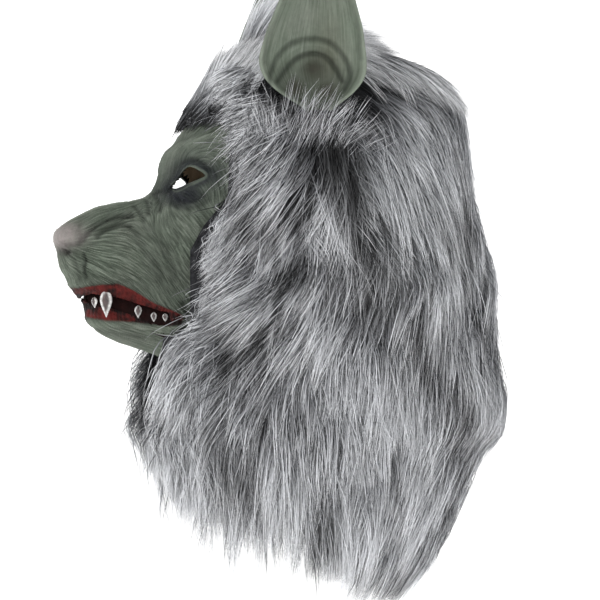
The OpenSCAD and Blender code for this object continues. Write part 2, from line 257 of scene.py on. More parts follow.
# ---- materials ----
class Surface:
    """A material that is built up node by node, mostly from outputs to outputs."""

    def __init__(self, name, **values):
        self.material = bpy.data.materials.new(name)
        self.material.use_nodes = True
        tree = self.material.node_tree
        self.nodes, self.link = tree.nodes, tree.links.new
        self.sockets = self.nodes["Principled BSDF"].inputs
        for socket, value in values.items():
            self.sockets[socket.replace("_", " ")].default_value = value

    def add(self, kind, **inputs):
        made = self.nodes.new(kind)
        for key, value in inputs.items():
            if key in made.inputs:
                made.inputs[key].default_value = value
            else:
                setattr(made, key, value)
        return made

    def ramp(self, factor, stops):
        made = self.nodes.new("ShaderNodeValToRGB")
        elements = made.color_ramp.elements
        while len(elements) < len(stops):
            elements.new(0.5)
        for element, (place, colour) in zip(elements, stops):
            grey = not hasattr(colour, "__len__")
            element.position, element.color = place, (*((colour,) * 3 if grey else colour), 1)
        self.link(factor, made.inputs["Fac"])
        return made.outputs["Color"]

    def multiply(self, a, b, share=1.0):
        made = self.add("ShaderNodeMix", data_type="RGBA", blend_type="MULTIPLY")
        made.inputs["Factor"].default_value = share
        self.link(a, made.inputs["A"])
        self.link(b, made.inputs["B"])
        return made.outputs["Result"]

    def noise(self, scale, detail, roughness=0.6):
        made = self.add("ShaderNodeTexNoise", Scale=scale, Detail=detail, Roughness=roughness)
        self.link(self.place, made.inputs["Vector"])
        return made.outputs["Fac"]

    def bump(self, *layers):
        """Bump from noise layers, each (scale, detail, height in metres)."""
        self.place = self.nodes.new("ShaderNodeTexCoord").outputs["Object"]
        normal = None
        for scale, detail, height in layers:
            bump = self.add("ShaderNodeBump", Strength=1.0, Distance=height)
            self.link(self.noise(scale, detail), bump.inputs["Height"])
            if normal:
                self.link(normal, bump.inputs["Normal"])
            normal = bump.outputs["Normal"]
        self.link(normal, self.sockets["Normal"])

    def finished(self, **outputs):
        for socket, output in outputs.items():
            self.link(output, self.sockets[socket.replace("_", " ")])
        return self.material

    def paint(self):
        return self.add("ShaderNodeVertexColor", layer_name="paint").outputs["Color"]


def painted_material(name, roughness):
    """Latex painted by hand: the colour comes from the sculpt, broken up by fine mottling."""
    surface = Surface(name, Specular_IOR_Level=0.16)
    surface.bump((900, 3, 0.00025), (240, 4, 0.0005))
    mottle = surface.noise(160, 6, 0.65)
    mottled = surface.ramp(mottle, [(0.3, 0.8), (0.5, 0.98), (0.72, 1.12)])
    clouded = surface.ramp(surface.noise(28, 3, 0.5),
                           [(0.3, (0.86, 0.9, 0.86)), (0.7, (1.06, 1.03, 1.04))])
    colour = surface.multiply(surface.multiply(surface.paint(), mottled, 0.75), clouded, 0.8)
    return surface.finished(Base_Color=colour,
                            Roughness=surface.ramp(mottle, [*zip((0.3, 0.7), roughness)]))


def mottled_material(name, low, high, roughness, scale, *bumps, specular=0.12):
    """A mottled material between two colours."""
    surface = Surface(name, Specular_IOR_Level=specular)
    surface.bump(*bumps)
    noise = surface.noise(scale, 5)
    rough = [(0.3, roughness * 0.8), (0.7, min(1, roughness * 1.15))]
    return surface.finished(Base_Color=surface.ramp(noise, [(0.3, low), (0.7, high)]),
                            Roughness=surface.ramp(noise, rough))


def undercoat_material():
    surface = Surface("dark_undercoat", Roughness=0.85, Specular_IOR_Level=0.05)
    surface.bump((260, 5, 0.004), (60, 3, 0.004))
    return surface.finished(Base_Color=surface.ramp(
        surface.noise(180, 6, 0.7), [(0.35, (0.010, 0.010, 0.011)), (0.7, (0.045, 0.046, 0.050))]))


def fur_material():
    """Two-tone pile: near-black at the root, silver at the tip. It reads only the strand's UV."""
    surface = Surface("two_tone_fur", Roughness=0.42, Specular_IOR_Level=0.2)
    parts = surface.nodes.new("ShaderNodeSeparateXYZ")
    surface.link(surface.add("ShaderNodeUVMap", uv_map="OFBake").outputs["UV"],
                 parts.inputs["Vector"])
    along = surface.ramp(parts.outputs["Y"], [
        (0.0, (0.008, 0.008, 0.009)), (0.25, (0.025, 0.026, 0.029)),
        (0.45, (0.19, 0.195, 0.207)), (0.7, (0.56, 0.57, 0.59)), (1.0, (0.74, 0.745, 0.76))])
    # U carries each strand's shade, the pile's painted shade included
    shade = surface.ramp(parts.outputs["X"],
                         [(0.0, 0.05), (0.3, 0.22), (0.55, 0.62), (0.8, 1.0), (1.0, 1.35)])
    return surface.finished(Base_Color=surface.multiply(along, shade))


def tooth_material():
    surface = Surface("glossy_tooth", Roughness=0.16, Coat_Weight=0.6, Coat_Roughness=0.08)
    surface.bump((420, 4, 0.0005))
    streak = surface.ramp(surface.noise(330, 4), [(0.40, 0.10), (0.50, 0.55), (0.60, 1.0)])
    return surface.finished(Base_Color=surface.multiply(surface.paint(), streak, 0.55))


latex = painted_material("painted_latex", (0.5, 0.74))
ear_latex = painted_material("painted_ear_latex", (0.55, 0.78))
raw_latex = mottled_material("raw_latex", (0.42, 0.33, 0.23), (0.56, 0.46, 0.34), 0.6, 30,
                             (700, 3, 0.0002))
green_latex = mottled_material("green_latex", (0.045, 0.056, 0.043), (0.12, 0.14, 0.11), 0.6, 60,
                               (500, 4, 0.0005))
web_paint = mottled_material("web_paint", (0.0040, 0.0016, 0.0014), (0.013, 0.0030, 0.0026), 0.7,
                             90, (300, 4, 0.0006), specular=0.08)
knit_cloth = mottled_material("knit_cloth", (0.028, 0.028, 0.031), (0.058, 0.058, 0.063), 0.9, 420,
                              (1100, 2, 0.0006), specular=0.15)
fur, undercoat, enamel = fur_material(), undercoat_material(), tooth_material()


# ---- latex ----
# Upright cross-sections from the nose back: y, top z, bottom z, half width, z where it is widest
SECTIONS = [
    (-193, -154, -160, 3, -157), (-190.5, -150.5, -168, 15, -160), (-184, -145.5, -184, 24, -165),
    (-177, -141, -201, 30, -172), (-168.5, -136.5, -221, 35, -183), (-157, -131.5, -236, 40, -190),
    (-142, -128, -245, 44, -193), (-126, -125.5, -250.5, 48, -192), (-112, -121, -255.5, 54, -187),
    (-104.5, -111, -258.5, 59, -180), (-99, -94, -260.5, 63, -172), (-90, -77.5, -262, 68, -164),
    (-79, -63, -264, 72, -158), (-60, -42, -265, 77, -152), (-40, -24, -266, 80, -150),
    (-20, -11, -300, 82, -140), (0, -2.5, -360, 83, -125), (26, 2, -420, 83.5, -115),
    (58, 1.6, -420, 83, -110), (92, -6, -420, 76.5, -110), (118, -20, -420, 63, -112),
    (136, -43, -420, 46, -116), (147, -73, -420, 27, -122), (150, -108, -420, 5, -126)]
# Where the lips meet: y, z
MOUTH_LINE = [(-193, -206), (-177, -209), (-168, -213), (-150, -214), (-130, -221), (-110, -228),
              (-88, -232), (-60, -236), (-40, -238), (150, -238)]
LIP_GAP, LIP_GROOVE, WALL = 12.0, 4.0, 2.0      # mm
RIMS = 1.3, WALL + 0.6          # how deep the rolled edge goes behind an opening
CHIN_START, JAW_FIRST, JAW_LAST, MOUTH_LAST = 3.5, 3.72, 14.0, 10.6     # sections
FACE_LAST, HEAD_LAST = 14.4, 23.0
UPPER_LIP, LOWER_LIP, CREST = 0.69999, 0.70001, 0.36       # shares down a section


def mouth_z(p):
    return lookup(smooth_at(SECTIONS, p, 0), MOUTH_LINE)


def latex_point(p, s, inset=0.0):
    """The latex at section p. The share s is 0 on top, 0.7 at the lips and 1 at the bottom."""
    p, s, inset = np.broadcast_arrays(*(np.asarray(v, float) for v in (p, s, inset)))
    y, top, bottom, w, middle = (smooth_at(SECTIONS, p, c) for c in range(5))
    t = np.abs(s)
    line = lookup(y, MOUTH_LINE)
    half_gap = LIP_GAP / 2 * ease((p - 3.3) / 1.1) * ease((MOUTH_LAST - p) / 1.6)
    edge = line + np.where(t < 0.7, 1, -1) * half_gap
    edge_share = np.clip((middle - edge) / (middle - bottom), 0.02, 0.995)
    edge_angle = np.arcsin(edge_share ** (1 / POWER))
    quarter = math.pi / 2
    angle = np.where(t < 0.4, quarter * (1 - t / 0.4),
                     np.where(t < 0.7, edge_angle * (t - 0.4) / 0.3,
                              mix(edge_angle, quarter, (t - 0.7) / 0.3)))
    reach = np.where(t < 0.4, top - middle, bottom - middle)
    rise = np.sin(np.clip(angle, 0, quarter)) ** POWER
    across = np.clip(np.cos(angle), 0, 1) ** POWER
    z = middle + reach * rise
    inset = inset + (LIP_GROOVE * ease((p - 3) / 1.2) * ease((MOUTH_LAST - p) / 1.5)
                     * ease(1.5 - np.abs(z - line) / 9))
    half = np.maximum(0.4, w - inset)
    lift = np.where(t < 0.4, np.maximum(0.4, reach - inset), np.minimum(-0.4, reach + inset))
    y = y + np.where(p < 16, inset * ease((16 - p) / 4), -inset * ease((p - 18) / 4))
    return np.stack([np.sign(s) * half * across, y, middle + lift * rise], -1)


def even(function, first, last, count):
    """Parameters that space the points of a curve evenly."""
    fine = np.linspace(first, last, 3000)
    steps = np.linalg.norm(np.diff(function(fine), axis=0), axis=1)
    length = np.concatenate([[0], np.cumsum(steps)])
    return np.interp(np.linspace(0, length[-1], count), length, fine)


def even_sections(first, last, count, s=CREST):
    return even(lambda p: latex_point(p, s), first, last, count)


def even_shares(p, first, last, count):
    return even(lambda s: latex_point(p, s), first, last, count)


# Sculpted folds on each side of the face: (y, z) points, depth or height in mm, half width
FOLDS = [
    (((-171, -160), (-163.5, -152), (-155, -146), (-141.5, -140), (-129, -139)), -2.6, 2.3),
    (((-158, -157.5), (-153.5, -153), (-147, -149), (-138, -146), (-131, -148)), -1.9, 2.0),
    (((-166, -160), (-158, -151), (-148, -145), (-136, -143)), 1.6, 3.0),
    (((-172, -147), (-172.5, -153), (-171, -160)), -0.9, 1.8),
    (((-191, -162.5), (-183, -164.5), (-172.5, -163)), -1.5, 1.6),
    (((-186, -168.5), (-181.5, -171)), -4.5, 2.0),
    (((-184, -165), (-177, -168), (-176, -172)), 1.6, 2.4),
    (((-169, -172.5), (-167, -178), (-169, -185), (-167, -192)), -1.9, 1.5),
    (((-176, -176), (-173, -186), (-172, -194)), -1.1, 1.6),
    (((-110, -117), (-103.5, -117.5), (-96.5, -116.5)), -2.6, 2.0),
    (((-108, -120.5), (-106, -127), (-106.5, -135)), -1.7, 1.8),
    (((-115.5, -122), (-113.5, -130), (-115.5, -139)), -1.4, 1.8),
    (((-125.5, -130), (-121.5, -136), (-119, -143)), -1.2, 1.8),
    (((-100.5, -116), (-99.5, -105.5), (-93.5, -96), (-84, -90.5), (-74, -92.5), (-66.5, -101)),
     -2.0, 1.7),
    (((-98, -121), (-91.5, -126.8), (-81, -128), (-71.5, -122)), -1.8, 2.0),
    (((-99, -127), (-91, -133.5), (-79, -134.5), (-68, -127)), -1.2, 2.2),
    (((-103.5, -97), (-95, -87.5), (-84, -81), (-71, -81.5)), 3.0, 6.0),
    (((-98, -82), (-88, -74), (-76, -70)), -1.2, 2.4),
    (((-180, -197.5), (-170, -196.5), (-154, -194.5), (-141, -193.5), (-127, -199.5),
      (-111, -210.5), (-98, -216), (-89, -219)), 1.8, 3.0),
    (((-166, -229), (-148.5, -231), (-131, -232.5), (-111.5, -234.5), (-96, -236)), 1.3, 2.6),
    (((-160, -236), (-140, -240), (-118, -243.5)), -1.0, 2.2),
    (((-89, -214), (-84, -222), (-84, -231), (-88, -239)), -1.8, 2.4),
    (((-81, -208), (-76, -220), (-77, -234)), -1.3, 2.4),
    (((-128, -152), (-121, -163), (-113, -178), (-108, -192)), -1.0, 3.4),
    (((-118, -148), (-108, -160), (-100, -175), (-96, -192)), -1.0, 3.0)]
# Broad forms: y, z, height in mm, radius
FORMS = [(-150, -180, 2.4, 20), (-103, -192, -3.4, 17), (-88, -110, -4.2, 17), (-97, -124, -2.2, 7),
         (-120, -178, 1.4, 14), (-84, -150, 2.2, 15), (-181, -155, 1.6, 8), (-150, -205, 1.2, 10),
         (-112, -150, 0.8, 9), (-150, -237, 1.4, 12), (-179, -181, 2.6, 10), (-186, -160, 1.2, 8)]
# The way that the sculptor's furrows run: y, z, degrees down from straight back
FURROWS = [(-178, -148, -10), (-160, -143, -28), (-140, -134, -30), (-122, -130, -45),
           (-168, -176, 22), (-146, -168, 8), (-150, -190, 28), (-130, -186, 30), (-121, -160, 40),
           (-110, -176, 50), (-105, -201, 52), (-112, -143, 66), (-107, -128, 72), (-95, -150, 48),
           (-84, -170, 56), (-90, -204, 50), (-104, -108, -75), (-98, -95, -58), (-90, -83, -35),
           (-78, -77, -12), (-64, -86, 12), (-58, -102, 66), (-59, -124, 84), (-86, -131, 34),
           (-72, -137, 50), (-150, -236, 22), (-120, -243, 8), (-92, -246, 0), (-82, -64, -8),
           (-60, -165, 70), (-60, -225, 66), (-170, -205, 60)]
# Edges of the painted lips: y, z
RED_TOP = [(-200, -203), (-179, -201), (-170, -200), (-154, -198), (-141, -197), (-128, -203),
           (-111, -214), (-98.5, -219), (-90.5, -222.5), (-84, -227)]
RED_BOTTOM = [(-200, -222), (-169, -224.5), (-160, -226.5), (-148.5, -228), (-131, -229.5),
              (-111.5, -231.5), (-97.5, -233), (-88, -232), (-84, -229)]
BROW_LINE = ((-106, -100), (-97, -86), (-86, -78), (-74, -76))
LIP_SPLIT = ((-148, -198), (-146, -212))
GREEN, GREEN_LIGHT, GREEN_DARK, SMOKE_AND_SHADE, NOSE_PINK, OXBLOOD, OXBLOOD_DARK = map(np.array, (
    (0.105, 0.127, 0.097), (0.205, 0.233, 0.192), (0.026, 0.032, 0.025), (0.0130, 0.0150, 0.0190),
    (0.325, 0.288, 0.282), (0.080, 0.0085, 0.0070), (0.0075, 0.0026, 0.0022)))


def rounded(points, count):
    """A closed smooth curve through points."""
    points = np.asarray(points, float)
    t = np.linspace(0, len(points), count, endpoint=False)
    i = t.astype(int)
    k = (t - i)[:, None]
    a, b, c, d = (points[(i + n) % len(points)] for n in (-1, 0, 1, 2))
    return b + 0.5 * k * (c - a + k * (2 * a - 5 * b + 4 * c - d + k * (3 * (b - c) + d - a)))


EYE_OUTLINE = rounded([(-97.5, -115.8), (-91, -107), (-85.5, -100.2), (-81, -98.4), (-75, -101.5),
                       (-70, -106.3), (-77, -109.8), (-85, -113.2), (-92.5, -117)], 200)
EYE_MIDDLE, EYE_REACH = (-84.5, -108), 36


def eye_edge(y, z):
    """Distance outside the eye hole's outline in the side view, negative inside, and the way
    to it as (y, z)."""
    shape = y.shape
    y, z = y.ravel(), z.ravel()
    near = np.flatnonzero(np.hypot(y - EYE_MIDDLE[0], z - EYE_MIDDLE[1]) < EYE_REACH)
    d, way = np.full(y.shape, 30.0), np.zeros((len(y), 2))
    gap = EYE_OUTLINE - np.stack([y[near], z[near]], -1)[:, None]
    size = np.hypot(gap[..., 0], gap[..., 1])
    (gy, gz), (ny, nz) = (np.moveaxis(g, -1, 0) for g in (gap, np.roll(gap, -1, 1)))
    crossing = (gz > 0) != (nz > 0)
    at = gy - gz * (ny - gy) / np.where(crossing, nz - gz, 1)
    inside = (crossing & (at > 0)).sum(1) % 2 == 1
    picked = np.arange(len(near)), size.argmin(1)
    d[near] = np.where(inside, -1, 1) * size[picked]
    way[near] = gap[picked]
    return d.reshape(shape), way


def tinted(paint, colour, amount):
    return mix(paint, colour, np.asarray(amount)[..., None])


def sculpt(points, seed):
    """Relief in mm and paint over a grid of the face, which may cross its middle."""
    x, y, z = points[..., 0], points[..., 1], points[..., 2]
    off = np.abs(x)
    beside = ease((off - 3) / 9)        # folds and forms fade out at the middle of the face
    relief, groove_shade = carved(y, z, FOLDS, 0.45, 2, 1.2, 1.25, beside)
    for fy, fz, height, radius in FORMS:
        relief += height * np.exp(-((y - fy) ** 2 + (z - fz) ** 2) / radius ** 2) * beside
    back, down = field_at(FURROWS, y, z, 7)
    flow = np.stack([np.zeros(y.shape), back, -down], -1)
    furrow = 0.4 * streaks(points, flow, 15, seed) + 0.6 * streaks(points, flow, 6, seed + 1)
    strength = ease((y + 196) / 12) * (1 - 0.75 * ease((8 - off) / 8) * ease((y + 150) / -20))
    furrow = np.sign(furrow) * np.abs(furrow) ** 0.8 * strength
    nose = np.exp(-(((y + 190) / 19) ** 2 + ((z + 155.5) / 11.5) ** 2) ** 1.3)
    eye = eye_edge(y, z)[0]
    line, red_top, red_bottom = (lookup(y, v) for v in (MOUTH_LINE, RED_TOP, RED_BOTTOM))
    red = ease((red_top - z + 0.9) / 1.8) * ease((z - red_bottom + 0.9) / 1.8) * ease((-86 - y) / 3)
    relief += 1.15 * furrow * (1 - 0.8 * nose) * (1 - 0.8 * ease((5 - eye) / 5)) * (1 - 0.7 * red)
    relief += 1.1 * bell((eye - 1.8) / 1.8)
    wrinkles = np.sin(y * 1.9 + 2.2 * np.sin(y * 0.31) + 1.2 * np.sin(z * 0.5))
    relief += 0.22 * red * wrinkles
    nostril = bell((off - 11.5) / 4.2, (z + 167.5) / 2.8) * ease((-181 - y) / 3)
    philtrum = bell(x / 1.8) * ease((-163 - z) / 5) * ease((-170 - y) / 4) * (1 - red)
    relief -= 4.0 * nostril + 1.4 * philtrum
    relief += 0.5 * nose * np.sin(x * 0.9) * np.sin(y * 0.8) * np.sin(z * 0.85)

    # Paint: airbrushed green, painted lighter on what stands out and darker in the furrows as light
    # and shade; lighter at the chin, and smoke round the eyes
    high = np.clip(0.5 + 0.5 * furrow, 0, 1)
    tone = np.clip(-0.04 + 1.15 * high ** 1.4 + 0.22 * ease((-z - 224) / 12), 0, 1)
    paint = tinted(GREEN_DARK * 1.5, tinted(GREEN, GREEN_LIGHT, tone), 0.30 + 0.70 * tone ** 0.6)
    # painted shade in the carved grooves
    paint = paint * (1 - 0.62 * np.clip(groove_shade, 0, 1))[..., None]
    # painted shade in the hollow of the cheek
    paint = tinted(paint, GREEN_DARK, 0.42 * bell((y + 98) / 24, (z + 190) / 26))
    # painted highlight along the top of the muzzle
    muzzle_top_highlight = 0.85 * ease((14 - off) / 12) * ease((-106 - y) / 10) * ease((z + 160) / 8)
    paint = tinted(paint, GREEN_LIGHT * 1.6, muzzle_top_highlight)
    smoke = np.maximum.reduce([
        0.95 * bell((np.clip(eye, 0, 99) - 1.5) / 8.5) * ease((eye - 0.5) / 2.5),
        0.97 * np.exp(-(np.hypot((y + 89) * 0.65, (z + 121) * 0.95) / 12.5) ** 4),
        0.9 * bell(np.hypot(y + 64, (z + 106) * 0.7) / 10),
        0.62 * bell(np.hypot((y + 84) * 0.8, z + 106) / 27)])
    paint = tinted(paint, SMOKE_AND_SHADE, np.clip(smoke * (0.95 + 0.2 * furrow), 0, 0.98))
    # painted highlight along the raised brow
    brow_highlight = 0.4 * bell(stroke_distance(y, z, BROW_LINE)[0] / 6)
    paint = tinted(paint, GREEN_LIGHT * 1.1, brow_highlight * ease(eye / 14))
    paint = tinted(paint, GREEN, 0.5 * bell((eye - 0.6) / 0.8))
    # painted shade in the nostril pits and the philtrum's groove
    paint = tinted(paint, SMOKE_AND_SHADE, (0.9 * nostril + 0.5 * philtrum).clip(0, 1))
    # painted shade in the deep crease behind the nose pad
    paint = tinted(paint, GREEN_DARK * 0.6, 0.55 * bell((y + 184) / 7, (z + 170) / 4.5))
    pink = np.clip(nose * 1.15, 0, 1) * (0.82 + 0.1 * np.sin(y * 1.3) * np.sin(x * 0.7 + 1))
    paint = tinted(paint, NOSE_PINK, np.clip(pink, 0, 1))
    # the lips darken where they meet and in the troughs of their wrinkles as painted shade, with
    # random mottling, and along the split behind the fang
    deep = (0.22 * (0.5 - 0.5 * wrinkles) + 0.4 * cloud(y / 4, z / 2.5, 5)
            + 0.9 * bell((z - line) / 8.0) + 0.45 * (stroke_distance(y, z, LIP_SPLIT)[0] < 4.5))
    rim = (bell((red_top - z) / 1.4) + bell((z - red_bottom) / 1.2)) * ease((-86 - y) / 4)
    paint = tinted(paint, paint * 0.45, np.clip(rim, 0, 1) * 0.8)
    paint = tinted(paint, tinted(OXBLOOD * 1.25, OXBLOOD_DARK, np.clip(deep, 0, 1)), red)
    speckle = 1 + 0.05 * np.random.default_rng(seed + 7).standard_normal(y.shape)
    return relief, np.clip(paint * speckle[..., None], 0.002, 1)


def open_edges_of(quads, count):
    """Directed edges that only one of the faces uses."""
    raw = np.concatenate([quads[:, [a, (a + 1) % 4]] for a in range(4)])
    ends = np.sort(raw, 1).astype(np.int64)
    _, first, uses = np.unique(ends[:, 0] * count + ends[:, 1], return_index=True,
                               return_counts=True)
    return raw[first[uses == 1]]


def skin_pieces(names, p, s, seed, replaces, eye_holes=False, closed=False, blend=None):
    """A painted skin over a grid of the latex, with its edges rolled in to the wall's thickness.
    A closed skin goes all round, its front is capped, and it has no chin behind the front. Two
    names split it along the middle of the face, and both halves keep the whole skin's normals."""
    points, inner = (latex_point(p[:, None], s[None, :], inset) for inset in (0.0, 6.0))
    normals = outward_normals(points, inner)
    relief, paint = sculpt(points, seed)
    points = points + normals * relief[..., None]
    rows, columns = points.shape[:2]
    quads = grid_faces(rows, columns, closed)
    if closed:
        share = np.abs((s + np.roll(s, -1)) / 2)
        share[-1] = 1
        quads = quads[((share < UPPER_LIP) | (p[:-1, None] < CHIN_START)).ravel()]
    n = outward_normals(points, inner).reshape(-1, 3)
    flat, colours = points.reshape(-1, 3), paint.reshape(-1, 3)
    if (facing(flat, quads) * n[quads[:, 0]]).sum() < 0:
        quads = quads[:, ::-1]
    if eye_holes:       # cut the holes, and pull the points beside them on to the outline
        d, way = eye_edge(flat[:, 1], flat[:, 2])
        quads = quads[~(d[quads] < 0).all(1)]
        used = np.zeros(len(flat), bool)
        used[quads.ravel()] = True
        snap = used & (d < 0)
        dx = -(n[:, 1:] * way).sum(1) / np.where(np.abs(n[:, 0]) > 0.3, n[:, 0], 1)
        flat[snap] += np.column_stack([np.clip(dx, -2, 2), way])[snap]
    # Roll the open edges in, with two rims behind each, painted darker as shade. The first ring is
    # capped instead
    edges = open_edges_of(quads, len(flat))
    if closed:
        edges = edges[~(edges < columns).all(1)]
        n[:columns] = (0, -1, 0)
    ids, place = np.unique(edges, return_inverse=True)
    b, a = edges[:, 1], edges[:, 0]
    rim_a, rim_b = len(flat) + place.reshape(-1, 2).T
    faces = [quads, np.stack([b, a, rim_a, rim_b], -1),
             np.stack([rim_b, rim_a, rim_a + len(ids), rim_b + len(ids)], -1)]
    uv = grid_uv(rows, columns, 0.01, 0.99)
    flat = np.concatenate([flat] + [flat[ids] - n[ids] * depth for depth in RIMS])
    shading = np.concatenate([n, n[ids], n[ids]])
    colours = np.concatenate([colours, colours[ids] * 0.7, colours[ids] * 0.35])
    uv = np.concatenate([uv, uv[ids], uv[ids]])
    if closed:
        flat = np.concatenate([flat, points[0].mean(0, keepdims=True)])
        shading = np.concatenate([shading, [[0, -1, 0]]])
        colours[:columns] = colours[2 * columns:3 * columns]
        colours = np.concatenate([colours, colours[:columns].mean(0, keepdims=True)])
        uv = np.concatenate([uv, uv[:1]])
        k = np.arange(columns)
        fan = np.stack([k, (k + 1) % columns, np.full(columns, len(flat) - 1)], -1)
        faces.append(fan[:, ::-1] if facing(flat, fan)[:, 1].sum() > 0 else fan)
    for index, name in enumerate(names):
        some = faces
        if len(names) == 2:
            some = [f[(flat[f, 0].mean(1) > 0) == (index == 0)] for f in faces]
        used, place = np.unique(np.concatenate([f.ravel() for f in some]), return_inverse=True)
        ends = np.cumsum([f.size for f in some])[:-1]
        some = [v.reshape(f.shape) for v, f in zip(np.split(place.ravel(), ends), some)]
        make_piece(name, flat[used], some, latex, "latex", "head", replaces, blend, uv=uv[used],
                   colours=colours[used], normals=shading[used])


# ---- camera, light and floor ----
centre = Vector((0, 0.023, -0.211))
CAMERA_AZIMUTH, CAMERA_DISTANCE, FRAME_WIDTH, SENSOR = math.radians(80), 1.9, 0.528, 36


def place_object(name, data, place):
    """A camera or light that looks at the middle of the mask."""
    obj = bpy.data.objects.new(name, data)
    bpy.context.scene.collection.objects.link(obj)
    obj.location = place
    obj.rotation_euler = (centre - Vector(place)).to_track_quat("-Z", "Y").to_euler()
    return obj


toward = Vector((math.sin(CAMERA_AZIMUTH), -math.cos(CAMERA_AZIMUTH), 0))
camera = place_object("camera", bpy.data.cameras.new("camera"), centre + CAMERA_DISTANCE * toward)
camera.data.sensor_width, camera.data.lens = SENSOR, SENSOR * CAMERA_DISTANCE / FRAME_WIDTH
bpy.context.scene.camera = camera
for name, place, power, size in (("key_light", (1.3, -1.5, 1.2), 20, 1.2),
                                 ("fill_light", (1.6, 1.3, 0.3), 7, 1.4),
                                 ("back_light", (-1.4, 0.9, 1.1), 10, 1.4),
                                 ("front_light", (-1.2, -1.6, 0.4), 6, 1.4)):
    light = bpy.data.lights.new(name, "AREA")
    light.energy, light.size = power, size
    place_object(name, light, place)
world = bpy.data.worlds.new("studio")
world.use_nodes = True
background = world.node_tree.nodes["Background"].inputs
background["Color"].default_value, background["Strength"].default_value = (1, 1, 1, 1), 0.5
bpy.context.scene.world = world
bpy.context.scene.view_settings.view_transform = "Standard"


def studio_bowl():
    """A pale floor that curves up into a low wall all round."""
    floor_z, flat, foot, bend, wall = -900, 4200, 60, 1000, 2200
    profile = [(0, 0), (2600, 0), (flat, foot)] + [
        (flat + bend * math.sin(a), foot + bend * (1 - math.cos(a)))
        for a in np.linspace(0.15, 1.5, 12)] + [(flat + bend + 20, wall)]
    around = np.radians(np.arange(0, 360, 5))
    points = [[(r * math.cos(a), r * math.sin(a), floor_z + h) for a in around]
              for r, h in profile]
    floor = Surface("pale_floor", Base_Color=(0.93, 0.93, 0.93, 1), Roughness=0.9,
                    Emission_Color=(1, 1, 1, 1), Emission_Strength=0.5)
    faces = grid_faces(len(profile), len(around), True)[:, ::-1]
    make_mesh("studio_floor", points, [faces], floor.material)


studio_bowl()

# ---- face and chin ----
upper_s = even_shares(8.0, 0.0, UPPER_LIP, 285)
half_s = np.concatenate([upper_s[1:], np.linspace(LOWER_LIP, 1.0, 50)])
ring_s = np.concatenate([-half_s[::-1], [0.0], half_s[:-1]])
skin_pieces(["latex_face_left", "latex_face_right"], even_sections(0.0, FACE_LAST, 290), ring_s,
            11, ["latex_head"], eye_holes=True, closed=True)
chin_s = even_shares(7.0, LOWER_LIP, 1.0, 90)
chin_s = np.concatenate([chin_s, -chin_s[::-1][1:]])
skin_pieces(["latex_chin"], even_sections(JAW_FIRST, JAW_LAST, 230, 0.8), chin_s, 23,
            ["latex_jaw"], blend=("head", "jaw", (0, -0.060, -0.245), (0, -0.125, -0.245)))


# ---- fur hood ----
# Level sections of the inside of the hood: z, front y, back y, half width, share of loft upward
HOOD = [
    (4.2, 42, 50, 3, 1), (3.8, 28, 64, 12, 0.99), (2.6, 6, 86, 27, 0.96), (-1.5, -16, 106, 44, 0.9),
    (-10.5, -35, 125, 58, 0.75), (-26, -57, 143, 70, 0.5), (-43, -72, 152, 77.5, 0.35),
    (-61, -84, 157, 82, 0.2), (-100, -112, 160, 88, 0.05), (-150, -128, 161, 92, 0),
    (-200, -136, 162, 94, 0), (-236, -136, 162, 95, 0), (-280, -132, 161, 96, 0),
    (-330, -126, 157, 95, 0), (-400, -112, 136, 88, 0), (-470, -96, 105, 74, 0)]
HOOD_LEVELS = [level[0] for level in HOOD]
HOOD_MIDDLE = 20        # y
# Loft of the fur by height
LOFTS = [(-470, 12), (-442, 18), (-400, 21), (-344, 25), (-330, 30), (-236, 30), (-200, 31),
         (-150, 22), (-100, 14), (-61, 12), (10, 10)]
# Height of the fur's tips by angle, and the front edge of the side panels by height
TIPS = [(40, -368), (60, -384), (80, -402), (100, -418), (120, -446), (140, -462), (180, -466)]
SIDE_FRONT = [(-420, -70), (-360, -92), (-300, -96), (-262, -92), (-240, -82), (-170, -82),
              (-150, -72), (-125, -52), (-64, -48), (-20, -34), (-10, -28)]
CROWN_ROW, EAR_ROW, LOW_ROW = 3.7, 6.95, 12.0
SEAM_ROW, SEAM_ANGLE, NAPE_Z, HAIRLINE_Z = CROWN_ROW + 0.1, 150.0, -237.0, -60.0
BACKING, FRINGE = 1.5, 58.0
MID_FUR = 10.0          # height in the pile where directions and distances are taken
STEPS, MOST_STRANDS = 9, 12400          # points along a strand, strands in a piece
FAN, TALLEST, SHORTEST = 7.0, 1.42, 0.28    # spread of a lock in mm, shares of loft and length
# Where the side fur ends towards the face: z, y
FUR_EDGE = [(-470, -120), (-345, -124), (-300, -116), (-262, -104), (-238, -86), (-215, -77),
            (-200, -76), (-168, -76), (-150, -66), (-121, -48), (-99, -51), (-90, -51), (-70, -50),
            (-60, -58), (-40, -62)]
